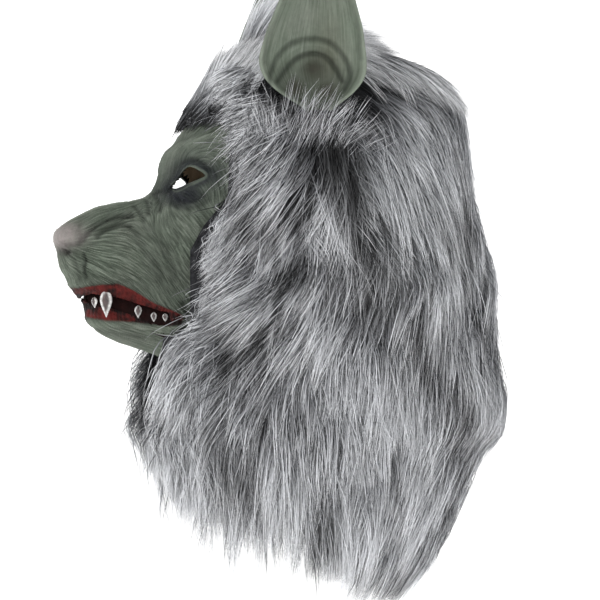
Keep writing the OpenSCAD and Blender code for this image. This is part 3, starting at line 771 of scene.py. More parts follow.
# The lie of the side fur: y, z, degrees from straight down, plus towards the back
LIE = [
    (-44, -53, -35), (-53, -88, -22), (-58, -123, -18), (-63, -158, -24), (-72, -194, -42),
    (-76, -229, -62), (-85, -246, -56), (-100, -264, -28), (-115, -299, -14), (-120, -343, -10),
    (-22, -62, -25), (-23, -106, -30), (-32, -158, -32), (-41, -211, -40), (-50, -255, -36),
    (-68, -299, -24), (-68, -343, -12), (-50, -387, -8), (4, -70, -5), (3, -114, -22),
    (3, -167, -22), (-6, -220, -25), (-6, -273, -16), (-6, -326, -8), (3, -378, -4), (31, -62, 30),
    (30, -97, 15), (39, -141, 0), (39, -211, -5), (39, -282, 0), (39, -343, 0), (48, -413, 3),
    (68, -35, 62), (67, -70, 45), (75, -114, 25), (83, -167, 12), (83, -238, 5), (83, -317, 3),
    (83, -405, 0), (95, 0, 75), (103, -26, 62), (112, -70, 42), (120, -123, 20), (128, -185, 8),
    (128, -255, 2), (128, -343, -5), (120, -413, -8), (138, -35, 46), (147, -79, 24),
    (155, -141, 9), (160, -211, 0), (158, -300, -6), (140, -390, -12)]
# Deep waves in the side fur, painted dark as shade: y, z
SHADED_VALLEYS = [((40, -66), (22, -105), (6, -140), (-7, -177), (-24, -236), (-62, -262)),
           ((52, -62), (50, -110), (66, -165))]


def hood_row(z):
    return np.interp(-np.asarray(z, float), [-z for z in HOOD_LEVELS],
                     np.arange(len(HOOD), dtype=float))


def row_z(row):
    return smooth_at(HOOD, row, 0)


def hood_point(angle, row, out):
    """A point of the hood at an angle in degrees from the front, at a hood row, lofted outward."""
    z, front, back, w, up = (smooth_at(HOOD, row, c) for c in range(5))
    up = np.clip(up, 0, 1)
    across = out * np.sqrt(1 - up * up)
    a = np.radians(angle)
    s, c = np.sin(a), np.cos(a)
    x = (w + across) * np.sign(s) * np.abs(s) ** POWER
    ahead = HOOD_MIDDLE - (HOOD_MIDDLE - front + across) * np.abs(c) ** POWER
    behind = HOOD_MIDDLE + (back + across - HOOD_MIDDLE) * np.abs(c) ** POWER
    return np.stack([x, np.where(c > 0, ahead, behind), z + out * up], -1)


def hood_normal(angle, row):
    return unit(hood_point(angle, row, 12.0) - hood_point(angle, row, 0.0))


def hood_scale(angle, row):
    """Millimetres to a degree and to a row of the hood."""
    def span(da, dr):
        return np.linalg.norm(hood_point(angle + da, row + dr, MID_FUR)
                              - hood_point(angle - da, row - dr, MID_FUR), axis=-1)
    return np.maximum(span(0.5, 0), 0.3), np.maximum(span(0, 0.05) * 10, 1.0)


def loft_at(row):
    return lookup(row_z(row), LOFTS)


def front_angle(row):
    y = lookup(row_z(row), SIDE_FRONT)
    front = smooth_at(HOOD, row, 1)
    share = np.clip((HOOD_MIDDLE - y) / (HOOD_MIDDLE - front), 0, 1)
    return np.degrees(np.arccos(share ** (1 / POWER)))


def tip_row(angle, up):
    return hood_row(lookup(np.abs(angle), TIPS) + up)


def painted_fur_shade(points):
    """How much darker the fur is painted, as shade behind the eye, round the ear and in the deep
    waves, and in random broad waves; less towards the bottom.
    """
    y, z = points[..., 1], points[..., 2]
    dark = 0.40 * bell((y - 30) / 30, (z + 110) / 44)
    ragged = cloud(y / 6, z / 24, 68)
    for line in SHADED_VALLEYS:
        d = stroke_distance(y, z, line)[0]
        dark += 0.62 * bell(d / 15) * np.clip(0.5 + 0.9 * ragged, 0, 1.15)
    dark += 0.26 * bell((y - 62) / 22, (z + 205) / 40)
    waves = 0.30 * np.maximum(cloud(y / 17 + z / 60, z / 52, 67), 0)
    return dark + waves - 0.07 - 0.11 * ease((-z - 240) / 60)


def shade_of(rng, level, point, base=0.66, tone=0.0):
    """Shade 0 to 1 of each strand: its place in the pile, lower in it darker as painted shade, and
    its lock.
    """
    y, z = point[:, 1], point[:, 2]
    patch = (0.10 * np.sin(y * 0.071 + 1.3) * np.sin(z * 0.043 + 0.4)
             + 0.07 * np.sin(y * 0.19 + z * 0.03))
    kind = rng.random(len(level))
    single = rng.normal(0, 0.11, len(level)) - 0.44 * (kind < 0.26) + 0.24 * (kind > 0.60)
    return np.clip(base + 0.62 * (level - 0.72) + patch + single + tone, 0.0, 1.1)


def strand_ribbons(rng, paths, outward, width, shade, early):
    """Points, faces and UV of ribbons along paths [strand][step][xyz]. Each faces outward, give
    or take a random twist."""
    count, t = len(paths), np.linspace(0, 1, STEPS)
    tangent = unit(np.gradient(paths, axis=1))
    side = unit(np.cross(tangent, outward[:, None, :]))
    twist = (rng.uniform(-1.0, 1.0, (count, 1, 1))
             + np.linspace(0, 0.5, STEPS)[None, :, None] * rng.uniform(-1, 1, (count, 1, 1)))
    across = side * np.cos(twist) + np.cross(side, tangent) * np.sin(twist)
    taper = ((0.75 + 0.25 * np.sin(math.pi * np.minimum(t * 1.6, 1)))
             * (1 - ease((t - 0.62) / 0.38)) + 0.06)
    half = 0.5 * width[:, None, None] * taper[None, :, None]
    points = np.stack([paths - across * half, paths + across * half], 2)    # strand, step, side
    base = np.arange(count)[:, None] * STEPS * 2 + np.arange(STEPS - 1)[None, :] * 2
    quads = np.stack([base, base + 1, base + 3, base + 2], -1).reshape(-1, 4)
    uv = np.empty((count, STEPS, 2, 2))
    u = np.clip(shade[:, None] - painted_fur_shade(paths) * (early == 0), 0.02, 0.98)
    uv[..., 0] = u[..., None] + np.array([-0.002, 0.002])
    uv[..., 1] = mix(0.01, 0.99, t ** (1 - early))[None, :, None]
    return points, quads, np.clip(uv, 0.002, 0.998).reshape(-1, 2)


def strand_pieces(name, paths, outward, shade, seed, panel=None, body="head", blend=None,
                  width=(0.38, 0.78), early=0.0):
    """Strand meshes of a panel. The greater early is, the nearer the root a strand turns
    silver, and only strands with none of it take the hood's painted shade."""
    rng = np.random.default_rng(seed)
    order = np.argsort(-paths[:, 0, 2], kind="stable")
    parts = max(1, math.ceil(len(order) / MOST_STRANDS))
    for n, chosen in enumerate(np.array_split(order, parts)):
        points, quads, uv = strand_ribbons(
            np.random.default_rng(seed + n), paths[chosen], outward[chosen],
            rng.uniform(*width, len(chosen)), shade[chosen], early)
        make_piece(f"{name}_fur_{n + 1}", points, [quads], fur, "fur", body,
                   [(panel or name) + "_pile"], blend, uv=uv)


def curls(rng, count, size, t):
    """Random sideways bends of strands, that grow towards their tips."""
    shape = (count,) + (1,) * (t.ndim - 1)
    return (rng.normal(0, size, shape) * np.sin(t * rng.uniform(3, 7, shape)
                                                + rng.uniform(0, 6, shape)) * t)


def hood_fur(name, rng, roots, length, lie_of, per_lock, seed, face_edge=False, **piece):
    """Locks of strands that lie over the hood, from roots (angle, row). lie_of gives their way
    at points, in degrees from straight down. With face_edge they end at the edge of the face."""
    angle, row = roots
    locks = len(angle)
    length = length * rng.uniform(0.75, 1.2, locks)
    u, v = angle * 2 / 30, row_z(row) / 55
    level = np.clip(0.74 + 0.22 * cloud(u, v, 61) + rng.uniform(-0.40, 0.24, locks), 0.22, 1.15)
    front = ease((front_angle(row) + 58 - np.abs(angle)) / 40) * face_edge
    sway = (mix(17, 22, front) * cloud(u * mix(0.8, 1.5, front), v * 1.2, 62)
            + rng.normal(0, 1, locks) * mix(8, 12, front))
    wave = mix(0.7, 2.8, front) * rng.uniform(0.4, 1.4, locks)
    beat = rng.uniform(0, 6.3, locks)
    tone = (0.24 * cloud(u * 2.2, v * 0.8, 63) + 0.20 * cloud(u * 6, v * 1.6, 64)
            + rng.normal(0, 0.11, locks))
    t = np.linspace(0, 1, STEPS)
    path_a, path_r = np.empty((locks, STEPS)), np.empty((locks, STEPS))
    a, r = angle.copy(), row.copy()
    for n in range(STEPS):
        path_a[:, n], path_r[:, n] = a, r
        per_angle, per_row = hood_scale(a, r)
        lie = np.radians(lie_of(hood_point(a, r, MID_FUR)) + sway * (1 - 0.5 * t[n]))
        step = length / (STEPS - 1)
        a = a + np.sign(a) * step * np.sin(lie) / per_angle
        r = r + step * np.cos(lie) / per_row
    # A lock stops where it would fall over the face
    guide = hood_point(path_a, path_r, 14.0)
    over = ((guide[..., 1] < lookup(guide[..., 2], FUR_EDGE) + 3) & (np.abs(path_a) < 90)
            & face_edge)
    reach = np.where(over.any(1), np.maximum(over.argmax(1) - 0.6, 0) / (STEPS - 1), 1.0)
    kept = reach > SHORTEST
    angle, row, level, reach, tone, wave, beat = (
        w[kept] for w in (angle, row, level, reach, tone, wave, beat))
    locks = len(angle)
    at = reach[:, None] * np.arange(STEPS)
    low = np.minimum(at.astype(int), STEPS - 2)
    picked = np.arange(locks)[:, None]
    path_a, path_r = (mix(v[kept][picked, low], v[kept][picked, low + 1], at - low)
                      for v in (path_a, path_r))
    # Strands start spread about the lock's root and draw together towards its tip
    total = locks * per_lock
    pick = np.repeat(np.arange(locks), per_lock)
    off_side, off_down = rng.normal(0, FAN, total), rng.normal(0, FAN, total)
    loose = np.where(rng.random(total) < 0.10, rng.uniform(1.0, 2.2, total),
                     rng.uniform(0.12, 0.42, total))
    draw = 1 - (1 - loose[:, None]) * ease(t)[None, :]
    per_angle, per_row = (v[pick][:, None] for v in hood_scale(angle, row))
    side_mm = (off_side[:, None] * draw + curls(rng, total, 1.3, t[None, :])
               + (wave[:, None] * np.sin(t * 5.5 + beat[:, None]) * ease(t * 2))[pick])
    down_mm = off_down[:, None] * (1 - 0.5 * t) + t * rng.normal(0, 5, (total, 1))
    strand_a = path_a[pick] + side_mm / per_angle
    strand_r = path_r[pick] + down_mm / per_row
    stray = (rng.random((total, 1)) < 0.05) * rng.uniform(0.1, 0.5, (total, 1)) * t ** 2
    pile = 0.12 + 0.86 * ease(t / 0.55) - 0.16 * t ** 3
    share = pile[None, :] * level[pick][:, None] * rng.uniform(0.82, 1.06, (total, 1)) + stray
    strand_r = np.clip(strand_r, 0, len(HOOD) - 1)
    nape = 1 + 0.32 * bell((row_z(strand_r) + 312) / 34) * ease((np.abs(strand_a) - 118) / 30)
    out = BACKING + 0.4 + np.minimum(share * nape, TALLEST) * loft_at(strand_r)
    shade = shade_of(rng, level[pick], hood_point(angle, row, MID_FUR)[pick], tone=tone[pick])
    strand_pieces(name, hood_point(strand_a, strand_r, out),
                  hood_normal(strand_a[:, STEPS // 2], strand_r[:, STEPS // 2]), shade, seed,
                  **piece)


def clear_of_ears(paths):
    """Which strands keep out of the ears."""
    x, y, z = np.abs(paths[..., 0]), paths[..., 1], paths[..., 2]
    return ~((x > 71) & (z > -56) & (y > -38) & (y < 55)).any(1)


def free_fur(name, rng, roots, normals, flows, length, rise, sag, levels, base, per_lock, seed,
             spread=5.0, loose_share=0.12, tall=0.0, side=1, clear=False, **piece):
    """Locks of strands that leave a surface and curve over. The levels and the base set their
    shade, low levels darker as painted shade, and tall, 0 to 1, brightens them."""
    locks = len(roots)
    pick = np.repeat(np.arange(locks), per_lock)
    total = len(pick)
    t = np.linspace(0, 1, STEPS)[None, :, None]
    sideways = unit(np.cross(normals, flows))
    turn = np.radians(rng.normal(0, 9, locks))[:, None]
    flows = unit(flows * np.cos(turn) + sideways * np.sin(turn))
    sideways = unit(np.cross(normals, flows))
    size = (length * rng.uniform(0.8, 1.15, locks))[pick, None, None]
    kick = rng.uniform(0.55, 1.1, total)[:, None, None]
    rise, sag = (np.broadcast_to(v, locks)[pick, None, None] for v in (rise, sag))
    paths = size * (flows[pick][:, None] * t
                    + normals[pick][:, None] * kick * (rise * t - sag * t ** 2))
    loose = np.where(rng.random(total) < loose_share, rng.uniform(1.0, 2.0, total),
                     rng.uniform(0.25, 0.6, total))
    draw = 1 - (1 - loose[:, None, None]) * ease(t)
    curl = curls(rng, total, 1.2, t)
    paths += sideways[pick][:, None] * (rng.normal(0, spread, (total, 1, 1)) * draw + curl)
    paths += flows[pick][:, None] * rng.normal(0, spread, (total, 1, 1)) * (1 - 0.4 * t)
    paths += roots[pick][:, None]
    outward = unit(normals[pick] + 0.2 * rng.standard_normal((total, 3)))
    level = mix(rng.uniform(*levels, locks), 1.35, 0.85 * tall)[pick]
    shade = shade_of(rng, level, roots[pick], np.broadcast_to(base + 0.12 * tall, locks)[pick])
    keep = clear_of_ears(paths) if clear else np.ones(total, bool)
    mirror = [side, 1, 1]
    strand_pieces(name, paths[keep] * mirror, outward[keep] * mirror, shade[keep], seed, **piece)


# ---- fur pieces ----
def side_lie(points):
    back, down = field_at(LIE, points[:, 1], points[:, 2], 12)
    # The field holds degrees from straight down, so "down" here is sideways
    return np.degrees(np.arctan2(down, back))


def straight_lie(points):
    return 6 * np.sin(points[:, 2] * 0.03 + points[:, 0] * 0.05)


def side_roots(rng, sign, count):
    angles, rows = [], []
    heights = np.abs(np.gradient(HOOD_LEVELS))
    while sum(map(len, rows)) < count:
        u, v = rng.random(count * 2), rng.random(count * 2)
        r = mix(SEAM_ROW, tip_row(mix(front_angle(LOW_ROW), SEAM_ANGLE, u), FRINGE), v)
        a = mix(front_angle(r), SEAM_ANGLE, u)
        size = heights[np.clip(r.astype(int), 0, len(HOOD) - 1)] / 70
        under_ear = (np.abs(a - 84) < 22) & (row_z(r) > -44)
        keep = ((rng.random(len(r)) < np.clip(size, 0.12, 1)) & (a > front_angle(r) + 0.5)
                & ~under_ear)
        angles.append(a[keep] * sign)
        rows.append(r[keep])
    return np.concatenate(angles)[:count], np.concatenate(rows)[:count]


def panel_roots(rng, margin, first, last, count):
    z = mix(row_z(first), row_z(last), rng.random(count))
    return rng.uniform(SEAM_ANGLE + margin, 360 - SEAM_ANGLE - margin, count), hood_row(z)


def side_fur(side):
    """The fur over one cheek and side, shorter at the face and at the bottom."""
    rng = np.random.default_rng(101 if side > 0 else 102)
    a, r = side_roots(rng, side, 3600)
    near_face = ease((np.abs(a) - front_angle(r)) / 26)
    length = mix(52, 98, near_face) * mix(1, 0.72, ease((-row_z(r) - 350) / 70))
    hood_fur(SIDE_NAMES[side] + "_side", rng, (a, r), length, side_lie, 20,
             201 if side > 0 else 251, face_edge=True)


def back_fur():
    rng = np.random.default_rng(103)
    roots = panel_roots(rng, 0, SEAM_ROW, float(hood_row(NAPE_Z)), 1050)
    hood_fur("back", rng, roots, 96, straight_lie, 21, 301,
             blend=("head", "nape_flap", (0, 0.163, -0.222), (0, 0.163, -0.285)))
    rng = np.random.default_rng(104)
    roots = panel_roots(rng, 1, float(hood_row(NAPE_Z - 6)), float(tip_row(180, FRINGE)), 780)
    hood_fur("nape", rng, roots, 62, straight_lie, 21, 351, body="nape_flap")


def crown_fur():
    """The fur over the crown, which stands up in a bright crest between the ears."""
    rng = np.random.default_rng(105)
    count = 1300
    a = rng.uniform(0, 360, count)
    r = CROWN_ROW * rng.random(count) ** 0.6
    roots, normals = hood_point(a, r, BACKING), hood_normal(a, r)
    x, y = roots[:, 0], roots[:, 1]
    tall = ease(1.3 - np.abs(x) / 46) * ease((44 - y) / 80)
    want = np.stack([np.clip(x / 45, -1, 1) * 0.4 + rng.normal(0, 0.12, count), 0.9 + 0 * x,
                     -0.3 + 0 * x], -1)
    flows = unit(want - normals * (want * normals).sum(-1, keepdims=True))
    free_fur("crown", rng, roots, normals, flows, mix(68, 74, tall), mix(0.34, 1.05, tall),
             mix(0.46, 0.42, tall), (0.35, 1.05), 0.78, 19, 401, tall=tall, clear=True,
             early=0.45)


def forelock_fur():
    """The fur that sweeps up from the hairline, with short dark curls along the line itself."""
    rng = np.random.default_rng(106)
    last = float(hood_row(HAIRLINE_Z))
    for kind, count in (("sweep", 900), ("curl", 300)):
        sweep = kind == "sweep"
        r = (SEAM_ROW + (last - SEAM_ROW) * rng.random(count) ** 0.8 if sweep
             else last - rng.random(count) * 0.6)
        a = (front_angle(r) + 3) * rng.uniform(-1, 1, count)
        roots, normals = hood_point(a, r, BACKING), hood_normal(a, r)
        here = hood_point(a, r, 5.0)
        uphill = unit(hood_point(a, r - 0.1, 5.0) - here)
        sideways = unit(hood_point(a + 0.5, r, 5.0) - here) * np.sign(a)[:, None]
        shared = dict(panel="forelock", clear=True)
        if sweep:
            rise = mix(0.30, 0.07, ease((r - SEAM_ROW) / (last - SEAM_ROW)))
            free_fur("forelock_sweep", rng, roots, normals, unit(uphill + 0.30 * sideways), 62.0,
                     rise, rise * 0.8, (0.6, 1.2), 0.76, 18, 451, early=0.5, **shared)
        else:
            flows = unit(0.55 * uphill + sideways * rng.normal(0.2, 0.8, count)[:, None])
            free_fur("forelock_curl", rng, roots, normals, flows,
                     rng.uniform(0.6, 1.2, count) * 20.0, 0.30, 0.46, (0.3, 1.1), 0.42, 15, 471,
                     spread=2.4, early=0.15, **shared)


def ear_fur(side):
    """Fine silver hair that stands up over the root of an ear."""
    rng = np.random.default_rng(109 + side)
    count = 90
    y = -30 + 84 * rng.random(count) ** 1.3
    roots = np.stack([86 + rng.uniform(0, 7, count), y, rng.uniform(-100, -70, count)], -1)
    normals = np.tile([[1.0, 0, 0]], (count, 1))
    flows = unit(np.stack([0.1 + 0 * y, (y - 14) / 60 + 0.45 + rng.normal(0, 0.25, count),
                           1 + 0 * y], -1))
    name = SIDE_NAMES[side]
    free_fur(name + "_side_ear", rng, roots, normals, flows, rng.uniform(18, 50, count), 0.22,
             0.05, (0.4, 0.95), 0.64, 10, 531, spread=6.0, loose_share=0.75, side=side,
             panel=name + "_side", width=(0.24, 0.46), early=0.3,
             blend=("head", name + "_ear", (side * 0.090, 0.018, -0.082),
                    (side * 0.090, 0.018, -0.042)))


def edge_fur(side):
    """The fur that turns in round the front edge of a side panel, below the jaw."""
    rng = np.random.default_rng(115 + side)
    count = 300
    r = hood_row(rng.uniform(-338, -258, count))
    a = front_angle(r) + rng.uniform(0.3, 3.5, count)
    roots = hood_point(a, r, rng.uniform(0.5, 9.0, count))
    normals = unit(np.tile([[-0.45, -1.0, 0.0]], (count, 1)) + rng.normal(0, 0.15, (count, 3)))
    flows = unit(np.stack([rng.normal(0, 0.1, count), 0.12 + rng.normal(0, 0.12, count),
                           -1 + 0 * r], -1))
    name = SIDE_NAMES[side] + "_side"
    free_fur(name + "_edge", rng, roots, normals, flows, rng.uniform(30, 52, count), 0.16, 0.14,
             (0.6, 1.1), 0.92, 16, 561, spread=4.0, side=side, panel=name, early=0.55)


def beard_fur():
    """The fur that hangs from under the jaw."""
    rng = np.random.default_rng(107)
    count = 760
    p = rng.uniform(MOUTH_LAST, 13.9, count)
    s = rng.uniform(0.75, 1.0, count) * rng.choice([-1, 1], count)
    roots = latex_point(p, s, -2.8)
    normals = unit(roots - latex_point(p, s, 6.0))
    spread_x = 0.10 * np.sign(roots[:, 0]) * (1 - ease(np.abs(s) * 10 - 9))
    flows = unit(np.stack([spread_x, 0.14 * rng.random(count), -1 + 0 * p], -1))
    free_fur("beard", rng, roots, unit(normals + [[0, -0.5, 0.2]]), flows, 84.0, 0.07, 0.10,
             (0.55, 1.0), 0.78, 20, 501, spread=4.5, body="jaw", early=0.35)


side_fur(1)
side_fur(-1)
back_fur()
crown_fur()
forelock_fur()
for side in SIDE_NAMES:
    ear_fur(side)
for side in SIDE_NAMES:
    edge_fur(side)
beard_fur()


# ---- ears ----
EAR_ROOT, EAR_HEIGHT, EAR_WIDTH, EAR_CUP = (88.0, 18.0, -52.0), 172.0, 91.0, 24.0
EAR_LEAN, EAR_TURN = math.radians(11), math.radians(10)
# By the share of the height: share of the half width, shift back in mm, share of the cup's depth
EAR_WIDTHS = [(0, .2), (.05, .5), (.1, .76), (.17, .96), (.25, 1), (.4, .88), (.55, .68), (.7, .46),
              (.82, .28), (.93, .11), (1, .02)]
EAR_SWEEPS = [(0, 6), (.1, 3), (.25, 0), (.6, 5), (1, 9)]
EAR_CUPS = [(0, .1), (.08, .34), (.2, .85), (.35, 1), (.7, .6), (1, .05)]
# Grooves and ridges in the cup: (across, up) points in mm, height, half width
EAR_LINES = [
    (((-36, 21), (-35, 33), (-29, 46), (-16, 57), (3, 59), (16, 56), (28, 43), (33, 29), (27, 17)),
     -2.0, 1.7),
    (((-32, 23), (-31, 33), (-25, 42), (-14, 52), (3, 54), (14, 51), (23, 41), (29, 29)), 1.8, 2.6),
    (((-29, 24), (-21, 35), (-14, 42), (-3, 46), (5, 45.5), (12, 43), (19, 35), (25, 24)),
     -2.8, 2.0),
    (((-22, 20), (-15, 31), (-4, 39), (6, 39), (14, 31)), 1.2, 2.6),
    (((-40, 40), (-38, 62), (-31, 88), (-22, 112)), -1.1, 1.8),
    (((40, 44), (39, 66), (34, 90), (27, 114)), -1.1, 1.8)]
CANALS = [(1, 34, 10), (-14, 18, 8), (12, 16, 7)]       # across, up, radius
EAR_BROWN, CANAL_SHADE_BROWN = np.array((0.080, 0.076, 0.050)), np.array((0.032, 0.030, 0.022))


def smooth_lookup(x, pairs):
    """Like lookup, with the corners rounded off."""
    return sum(lookup(np.asarray(x) + d, pairs) for d in (-0.03, -0.015, 0, 0.015, 0.03)) / 5


def turned(points, a, b, angle):
    """Points turned in the plane of the axes a and b."""
    c, s = math.cos(angle), math.sin(angle)
    made = points.copy()
    made[:, a] = points[:, a] * c - points[:, b] * s
    made[:, b] = points[:, a] * s + points[:, b] * c
    return made


def ear_piece(side):
    v, s = np.linspace(0, 1, 190)[:, None], np.linspace(-1, 1, 121)[None, :]
    width = EAR_WIDTH / 2 * smooth_lookup(v, EAR_WIDTHS)
    lx = smooth_lookup(v, EAR_SWEEPS) + s * width
    ly = v * EAR_HEIGHT + 0 * s
    grid = np.stack([lx, ly, EAR_CUP * smooth_lookup(v, EAR_CUPS) * (1 - s * s)], -1)
    flow = unit(np.gradient(grid, axis=0))
    furrow = 0.6 * streaks(grid, flow, 22, 31 + side) + 0.4 * streaks(grid, flow, 9, 41 + side)
    relief, ear_groove_shade = carved(lx, ly, EAR_LINES, 0.3, 2.4, 1.1, 1.2)
    edge = (1 - np.abs(s)) * width
    relief += 0.4 * furrow + 1.7 * bell((edge - 2.6) / 2.4) - 0.9 * bell((edge - 8) / 2.2)
    dark = np.zeros(lx.shape)
    for cx, cy, radius in CANALS:
        hole = bell(np.hypot((lx - cx) * 0.9, ly - cy) / radius)
        relief -= 2.6 * hole
        dark = np.maximum(dark, 0.85 * hole)
    front, back = grid.copy(), grid.copy()
    front[..., 2] -= relief
    back[..., 2] += 3.0 * ease(edge / 3) + 0.6 - 0.3 * furrow
    # lighter on the raised streaks and darker in the furrows and towards the root, as painted light
    # and shade
    tone = np.clip(0.5 + 0.5 * furrow - 0.25 * ease((55 - ly) / 30), 0, 1)
    paint = tinted(GREEN * 0.92, GREEN_LIGHT * 1.06, tone)
    # painted highlight on the raised rim
    paint = tinted(paint, GREEN_LIGHT * 1.2, 0.7 * bell((edge - 1.8) / 2.6))
    paint = tinted(paint, EAR_BROWN, 0.45 * bell((lx - 14) / 13, (ly - 44) / 34))
    # painted shade deep in the cup, low down and away from the rim
    paint = tinted(paint, GREEN_DARK * 1.3, 0.6 * ease((46 - ly) / 34) * ease(edge / 9))
    # painted shade in the carved grooves
    paint = paint * (1 - 0.55 * np.clip(ear_groove_shade, 0, 1))[..., None]
    # dark brown painted in the canal hollows as their shade
    paint = tinted(paint, CANAL_SHADE_BROWN, dark)
    # the back is painted lighter on its raised streaks, as light
    back_paint = tinted(GREEN * 0.8, GREEN_LIGHT * 0.95, np.clip(0.5 - 0.5 * furrow, 0, 1))
    # Stand it up on the head: the cup's depth runs inward, its width back and its height up
    flat = np.concatenate([front.reshape(-1, 3), back.reshape(-1, 3)])
    flat = np.stack([-flat[:, 2], flat[:, 0], flat[:, 1]], -1)
    flat = (turned(turned(flat, 2, 0, EAR_LEAN), 0, 1, -EAR_TURN) + EAR_ROOT) * [side, 1, 1]
    rows, columns = lx.shape
    n = rows * columns
    quads = grid_faces(rows, columns)
    ids = np.arange(n).reshape(rows, columns)
    loop = np.concatenate([ids[0, :-1], ids[:-1, -1], ids[-1, :0:-1], ids[:0:-1, 0]])
    after = np.roll(loop, -1)
    faces = [quads, quads[:, ::-1] + n, np.stack([after, loop, loop + n, after + n], -1)]
    uv = np.concatenate([grid_uv(rows, columns, 0.01, 0.48), grid_uv(rows, columns, 0.52, 0.99)])
    name = SIDE_NAMES[side] + "_ear"
    make_piece(name + "_latex", flat, [f[:, ::-side] for f in faces], ear_latex, "ear_latex",
               name, [name], uv=uv,
               colours=np.concatenate([paint.reshape(-1, 3), back_paint.reshape(-1, 3)]))


for side in SIDE_NAMES:
    ear_piece(side)


# ---- inside of the casting ----
def casting_lining():
    """The unpainted inside of the casting, and the outside of its cap under the hood."""
    p = np.concatenate([even_sections(0.3, 13.0, 90), even_sections(13.0, HEAD_LAST, 60)[1:]])
    half = even_shares(14.0, 0.0, UPPER_LIP, 44)
    s = np.concatenate([-half[:0:-1], half])[None, :]
    inner = latex_point(p[:, None], s, WALL + 1.0)
    out = outward_normals(inner, latex_point(p[:, None], s, 9.0))
    inner += out * np.minimum(sculpt(inner, 11)[0], 0)[..., None]
    quads = grid_faces(*inner.shape[:2])
    d = eye_edge(inner[..., 1].ravel(), inner[..., 2].ravel())[0]
    make_piece("latex_lining", inner, [quads[(d[quads] > 2.0).all(1)]], raw_latex, "latex", "head",
               ["latex_head"])
    grid_piece("latex_cap", latex_point(even_sections(14.3, HEAD_LAST, 60)[:, None], s),
               green_latex, "latex", "head", ["latex_head"])


casting_lining()

# ---- teeth ----
ENAMEL, STAIN = np.array((0.82, 0.81, 0.79)), np.array((0.055, 0.030, 0.027))
# Section, share of the muzzle's half width, length, radius and inset of each tooth on a side
TOOTH_ROWS = {
    "front_teeth": [(4.5, 0.3, 8.5, 2.7, 3.4), (4.35, 1, 9.5, 3.4, 1.2)],
    "fangs": [(5.4, 1, 24, 5.3, -3.4)],
    "cheek_teeth": [(6.75, 1, 11, 3.2, 2.6), (7.6, 1, 8.5, 2.7, 2.8), (8.5, 1, 7, 2.6, 2.8)],
}
LEAF = [(0, 0.03), (0.05, 0.34), (0.14, 0.74), (0.28, 0.98), (0.42, 1.0), (0.6, 0.8), (0.8, 0.42),
        (0.93, 0.16), (1, 0.02)]


def tooth_row(name, teeth):
    """Flattened, leaf-shaped teeth, painted white round a stained middle."""
    points, colours, faces = [], [], []
    around, rings = 28, 25
    t = np.linspace(0, 1, rings)[:, None]
    outline = lookup(t, LEAF)
    angle = np.linspace(0, 2 * math.pi, around, endpoint=False)
    edge = np.abs(np.cos(angle))[None, :] ** 2 + np.abs(t - 0.42) * 0.9
    colour = tinted(STAIN, ENAMEL, ease((edge - 0.22) / 0.4)).reshape(-1, 3)
    for side in (-1, 1):
        for p, share, length, radius, inset in teeth:
            q, ahead = (latex_point(v, UPPER_LIP, inset) for v in (p, p - 0.15))
            centred = share < 1
            middle = np.array([side * share * q[0], q[1] - 3 * centred, mouth_z(p)])
            run = np.array([side * 0.97, 0.24, 0]) if centred else unit((q - ahead) * [side, 1, 0])
            out = np.array([side * abs(run[1]), -abs(run[0]), 0])
            wide = radius * outline * np.cos(angle)
            thick = 0.52 * radius * outline * np.sin(angle) - 0.04 * length * t ** 2
            tooth = middle + wide[..., None] * run + thick[..., None] * out
            tooth[..., 2] += (0.5 - t) * length + 2.5 * (p > 8)
            start = len(points) * around * rings
            faces.append(grid_faces(rings, around, True)[:, ::side] + start)
            points.append(tooth.reshape(-1, 3))
            colours.append(colour)
    make_piece(name + "_enamel", np.concatenate(points), faces, enamel, "tooth", "head", [name],
               colours=np.concatenate(colours))


for row_name, row_teeth in TOOTH_ROWS.items():
    tooth_row(row_name, row_teeth)


def mouth_web():
    """The dark web behind the lips, across the front too."""
    p = even_sections(4.15, 11.3, 110, UPPER_LIP)
    levels = np.concatenate([np.linspace(17, 6, 6), np.linspace(4, -4, 7), np.linspace(-6, -15, 5)])
    side = latex_point(p, UPPER_LIP, 4.6)
    side[:, 2] = mouth_z(p)
    share = np.linspace(1, -1, 61)[1:-1]
    front = np.tile(side[0], (len(share), 1))
    front[:, 0] *= share
    front[:, 1] -= 7.5 * (1 - share ** 2)
    path = np.concatenate([side[::-1], front, side * [-1, 1, 1]])
    run = unit(np.gradient(path[:, :2], axis=0))
    out = np.stack([-run[:, 1], run[:, 0]], -1)
    out *= np.sign((out * (path[:, :2] - [0, -100])).sum(-1, keepdims=True))
    bulge = 1.5 * bell(levels / 7) - 0.04 * np.maximum(np.abs(levels) - 6, 0)
    ripple = 0.25 * np.sin(np.arange(len(path)) * 0.7)[:, None] * bell(levels / 9)
    narrowing = ease((11.2 - p) / 2.5)
    squeeze = np.concatenate([narrowing[::-1], np.ones(len(share)), narrowing])[:, None]
    grid = np.repeat(path[:, None], len(levels), 1)
    grid[..., :2] += out[:, None] * (bulge + ripple)[..., None]
    grid[..., 2] += levels * mix(0.35, 1, squeeze)
    grid_piece("mouth_web_skin", grid, web_paint, "web", None, ["mouth_web"],
               ("head", "jaw", (0, -0.129, -0.217), (0, -0.131, -0.225)))


mouth_web()


# ---- backing cloth and undercoat ----
def cloth_piece(name, grid, body):
    """A panel's backing cloth from its grid of points."""
    cloth = grid_piece(name + "_cloth", grid, knit_cloth, "knit", body, [name + "_backing"])


def panel(angle, row, loft, edge=1.0):
    """Points of a layer of a panel, at a share of the fur's loft over the backing."""
    return hood_point(angle + 0 * row, row + 0 * angle, BACKING / 2 + loft * loft_at(row) * edge)


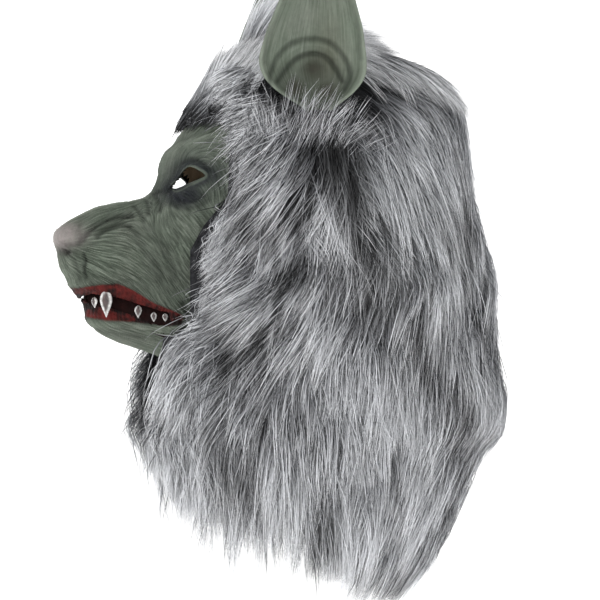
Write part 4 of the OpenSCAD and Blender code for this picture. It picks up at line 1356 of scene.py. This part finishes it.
def side_grid(sign, loft, low_edge):
    """A side panel. Its backing, which has no loft, dips under the ear."""
    u, v = np.linspace(0, 1, 50)[None, :], np.linspace(0, 1, 70)[:, None]
    top = mix(front_angle(SEAM_ROW), SEAM_ANGLE, u)
    notch = ease((top - 38) / 12) * ease((128 - top) / 14)
    first = SEAM_ROW if loft else mix(SEAM_ROW, EAR_ROW, notch)
    r = mix(first, tip_row(mix(front_angle(LOW_ROW), SEAM_ANGLE, u), low_edge), v)
    a = mix(front_angle(r), SEAM_ANGLE, u)
    spot = hood_point(a, r, 0.0)
    under_ear = np.exp(-((spot[..., 1] - 18) / 50) ** 4 - ((spot[..., 2] + 50) / 30) ** 4)
    edge = ease(u / 0.12 + 0.3) * (1 - 0.97 * under_ear) * (1 - 0.5 * ease((v - 0.85) / 0.15))
    return panel(a, r, loft, edge) * [sign, 1, 1]


def back_grid(first, last, loft, margin):
    a = np.linspace(SEAM_ANGLE + margin, 360 - SEAM_ANGLE - margin, 40)[None, :]
    return panel(a, mix(first, last, np.linspace(0, 1, 44)[:, None]), loft)


def crown_grid(loft):
    return panel(np.linspace(0, 360, 73)[None, :], CROWN_ROW * np.linspace(0.0, 1, 20)[:, None],
                 loft)


def forelock_grid(loft):
    r = mix(SEAM_ROW, float(hood_row(HAIRLINE_Z)), np.linspace(0, 1, 26)[:, None])
    a = np.linspace(-1, 1, 41)[None, :] * (front_angle(r) - 2.6)
    return panel(a, r, loft, ease((HAIRLINE_Z + 22 - row_z(r)) / -16))


def beard_grid(out):
    half = np.linspace(0.75, 1.0, 14)
    return latex_point(np.linspace(9.7, 13.9, 24)[:, None],
                       np.concatenate([half, -half[-2::-1]])[None, :], -out)


back = SEAM_ROW, float(hood_row(NAPE_Z))
nape_first, nape_last = float(hood_row(NAPE_Z - 2.8)), float(tip_row(180, FRINGE))
# Panel, its backing, its undercoat, body, how the backing is held, what it rests on
for name, backing, coat, body, held, under in (
        ("left_side", side_grid(1, 0, FRINGE), side_grid(1, 0.38, FRINGE - 16), "head", "hung",
         "latex_cap"),
        ("right_side", side_grid(-1, 0, FRINGE), side_grid(-1, 0.38, FRINGE - 16), "head", "hung",
         "latex_cap"),
        ("back", back_grid(*back, 0, 0.3), back_grid(*back, 0.38, 0.3), "head", "stretched",
         "latex_cap"),
        ("nape", back_grid(nape_first, nape_last, 0, 1.2),
         back_grid(nape_first + 0.35, nape_last, 0.3, 1.2), "nape_flap", "hung", "back_cloth"),
        ("crown", crown_grid(0), crown_grid(0.2), "head", "stretched", "latex_cap"),
        ("forelock", forelock_grid(0), forelock_grid(0.4), "head", "stretched", "latex_cap"),
        ("beard", beard_grid(2.0), None, "jaw", "stretched", "latex_chin")):
    cloth_piece(name, backing, body)
    if coat is not None:
        grid_piece(name + "_undercoat", coat, undercoat, "fur", body, [name + "_pile"])
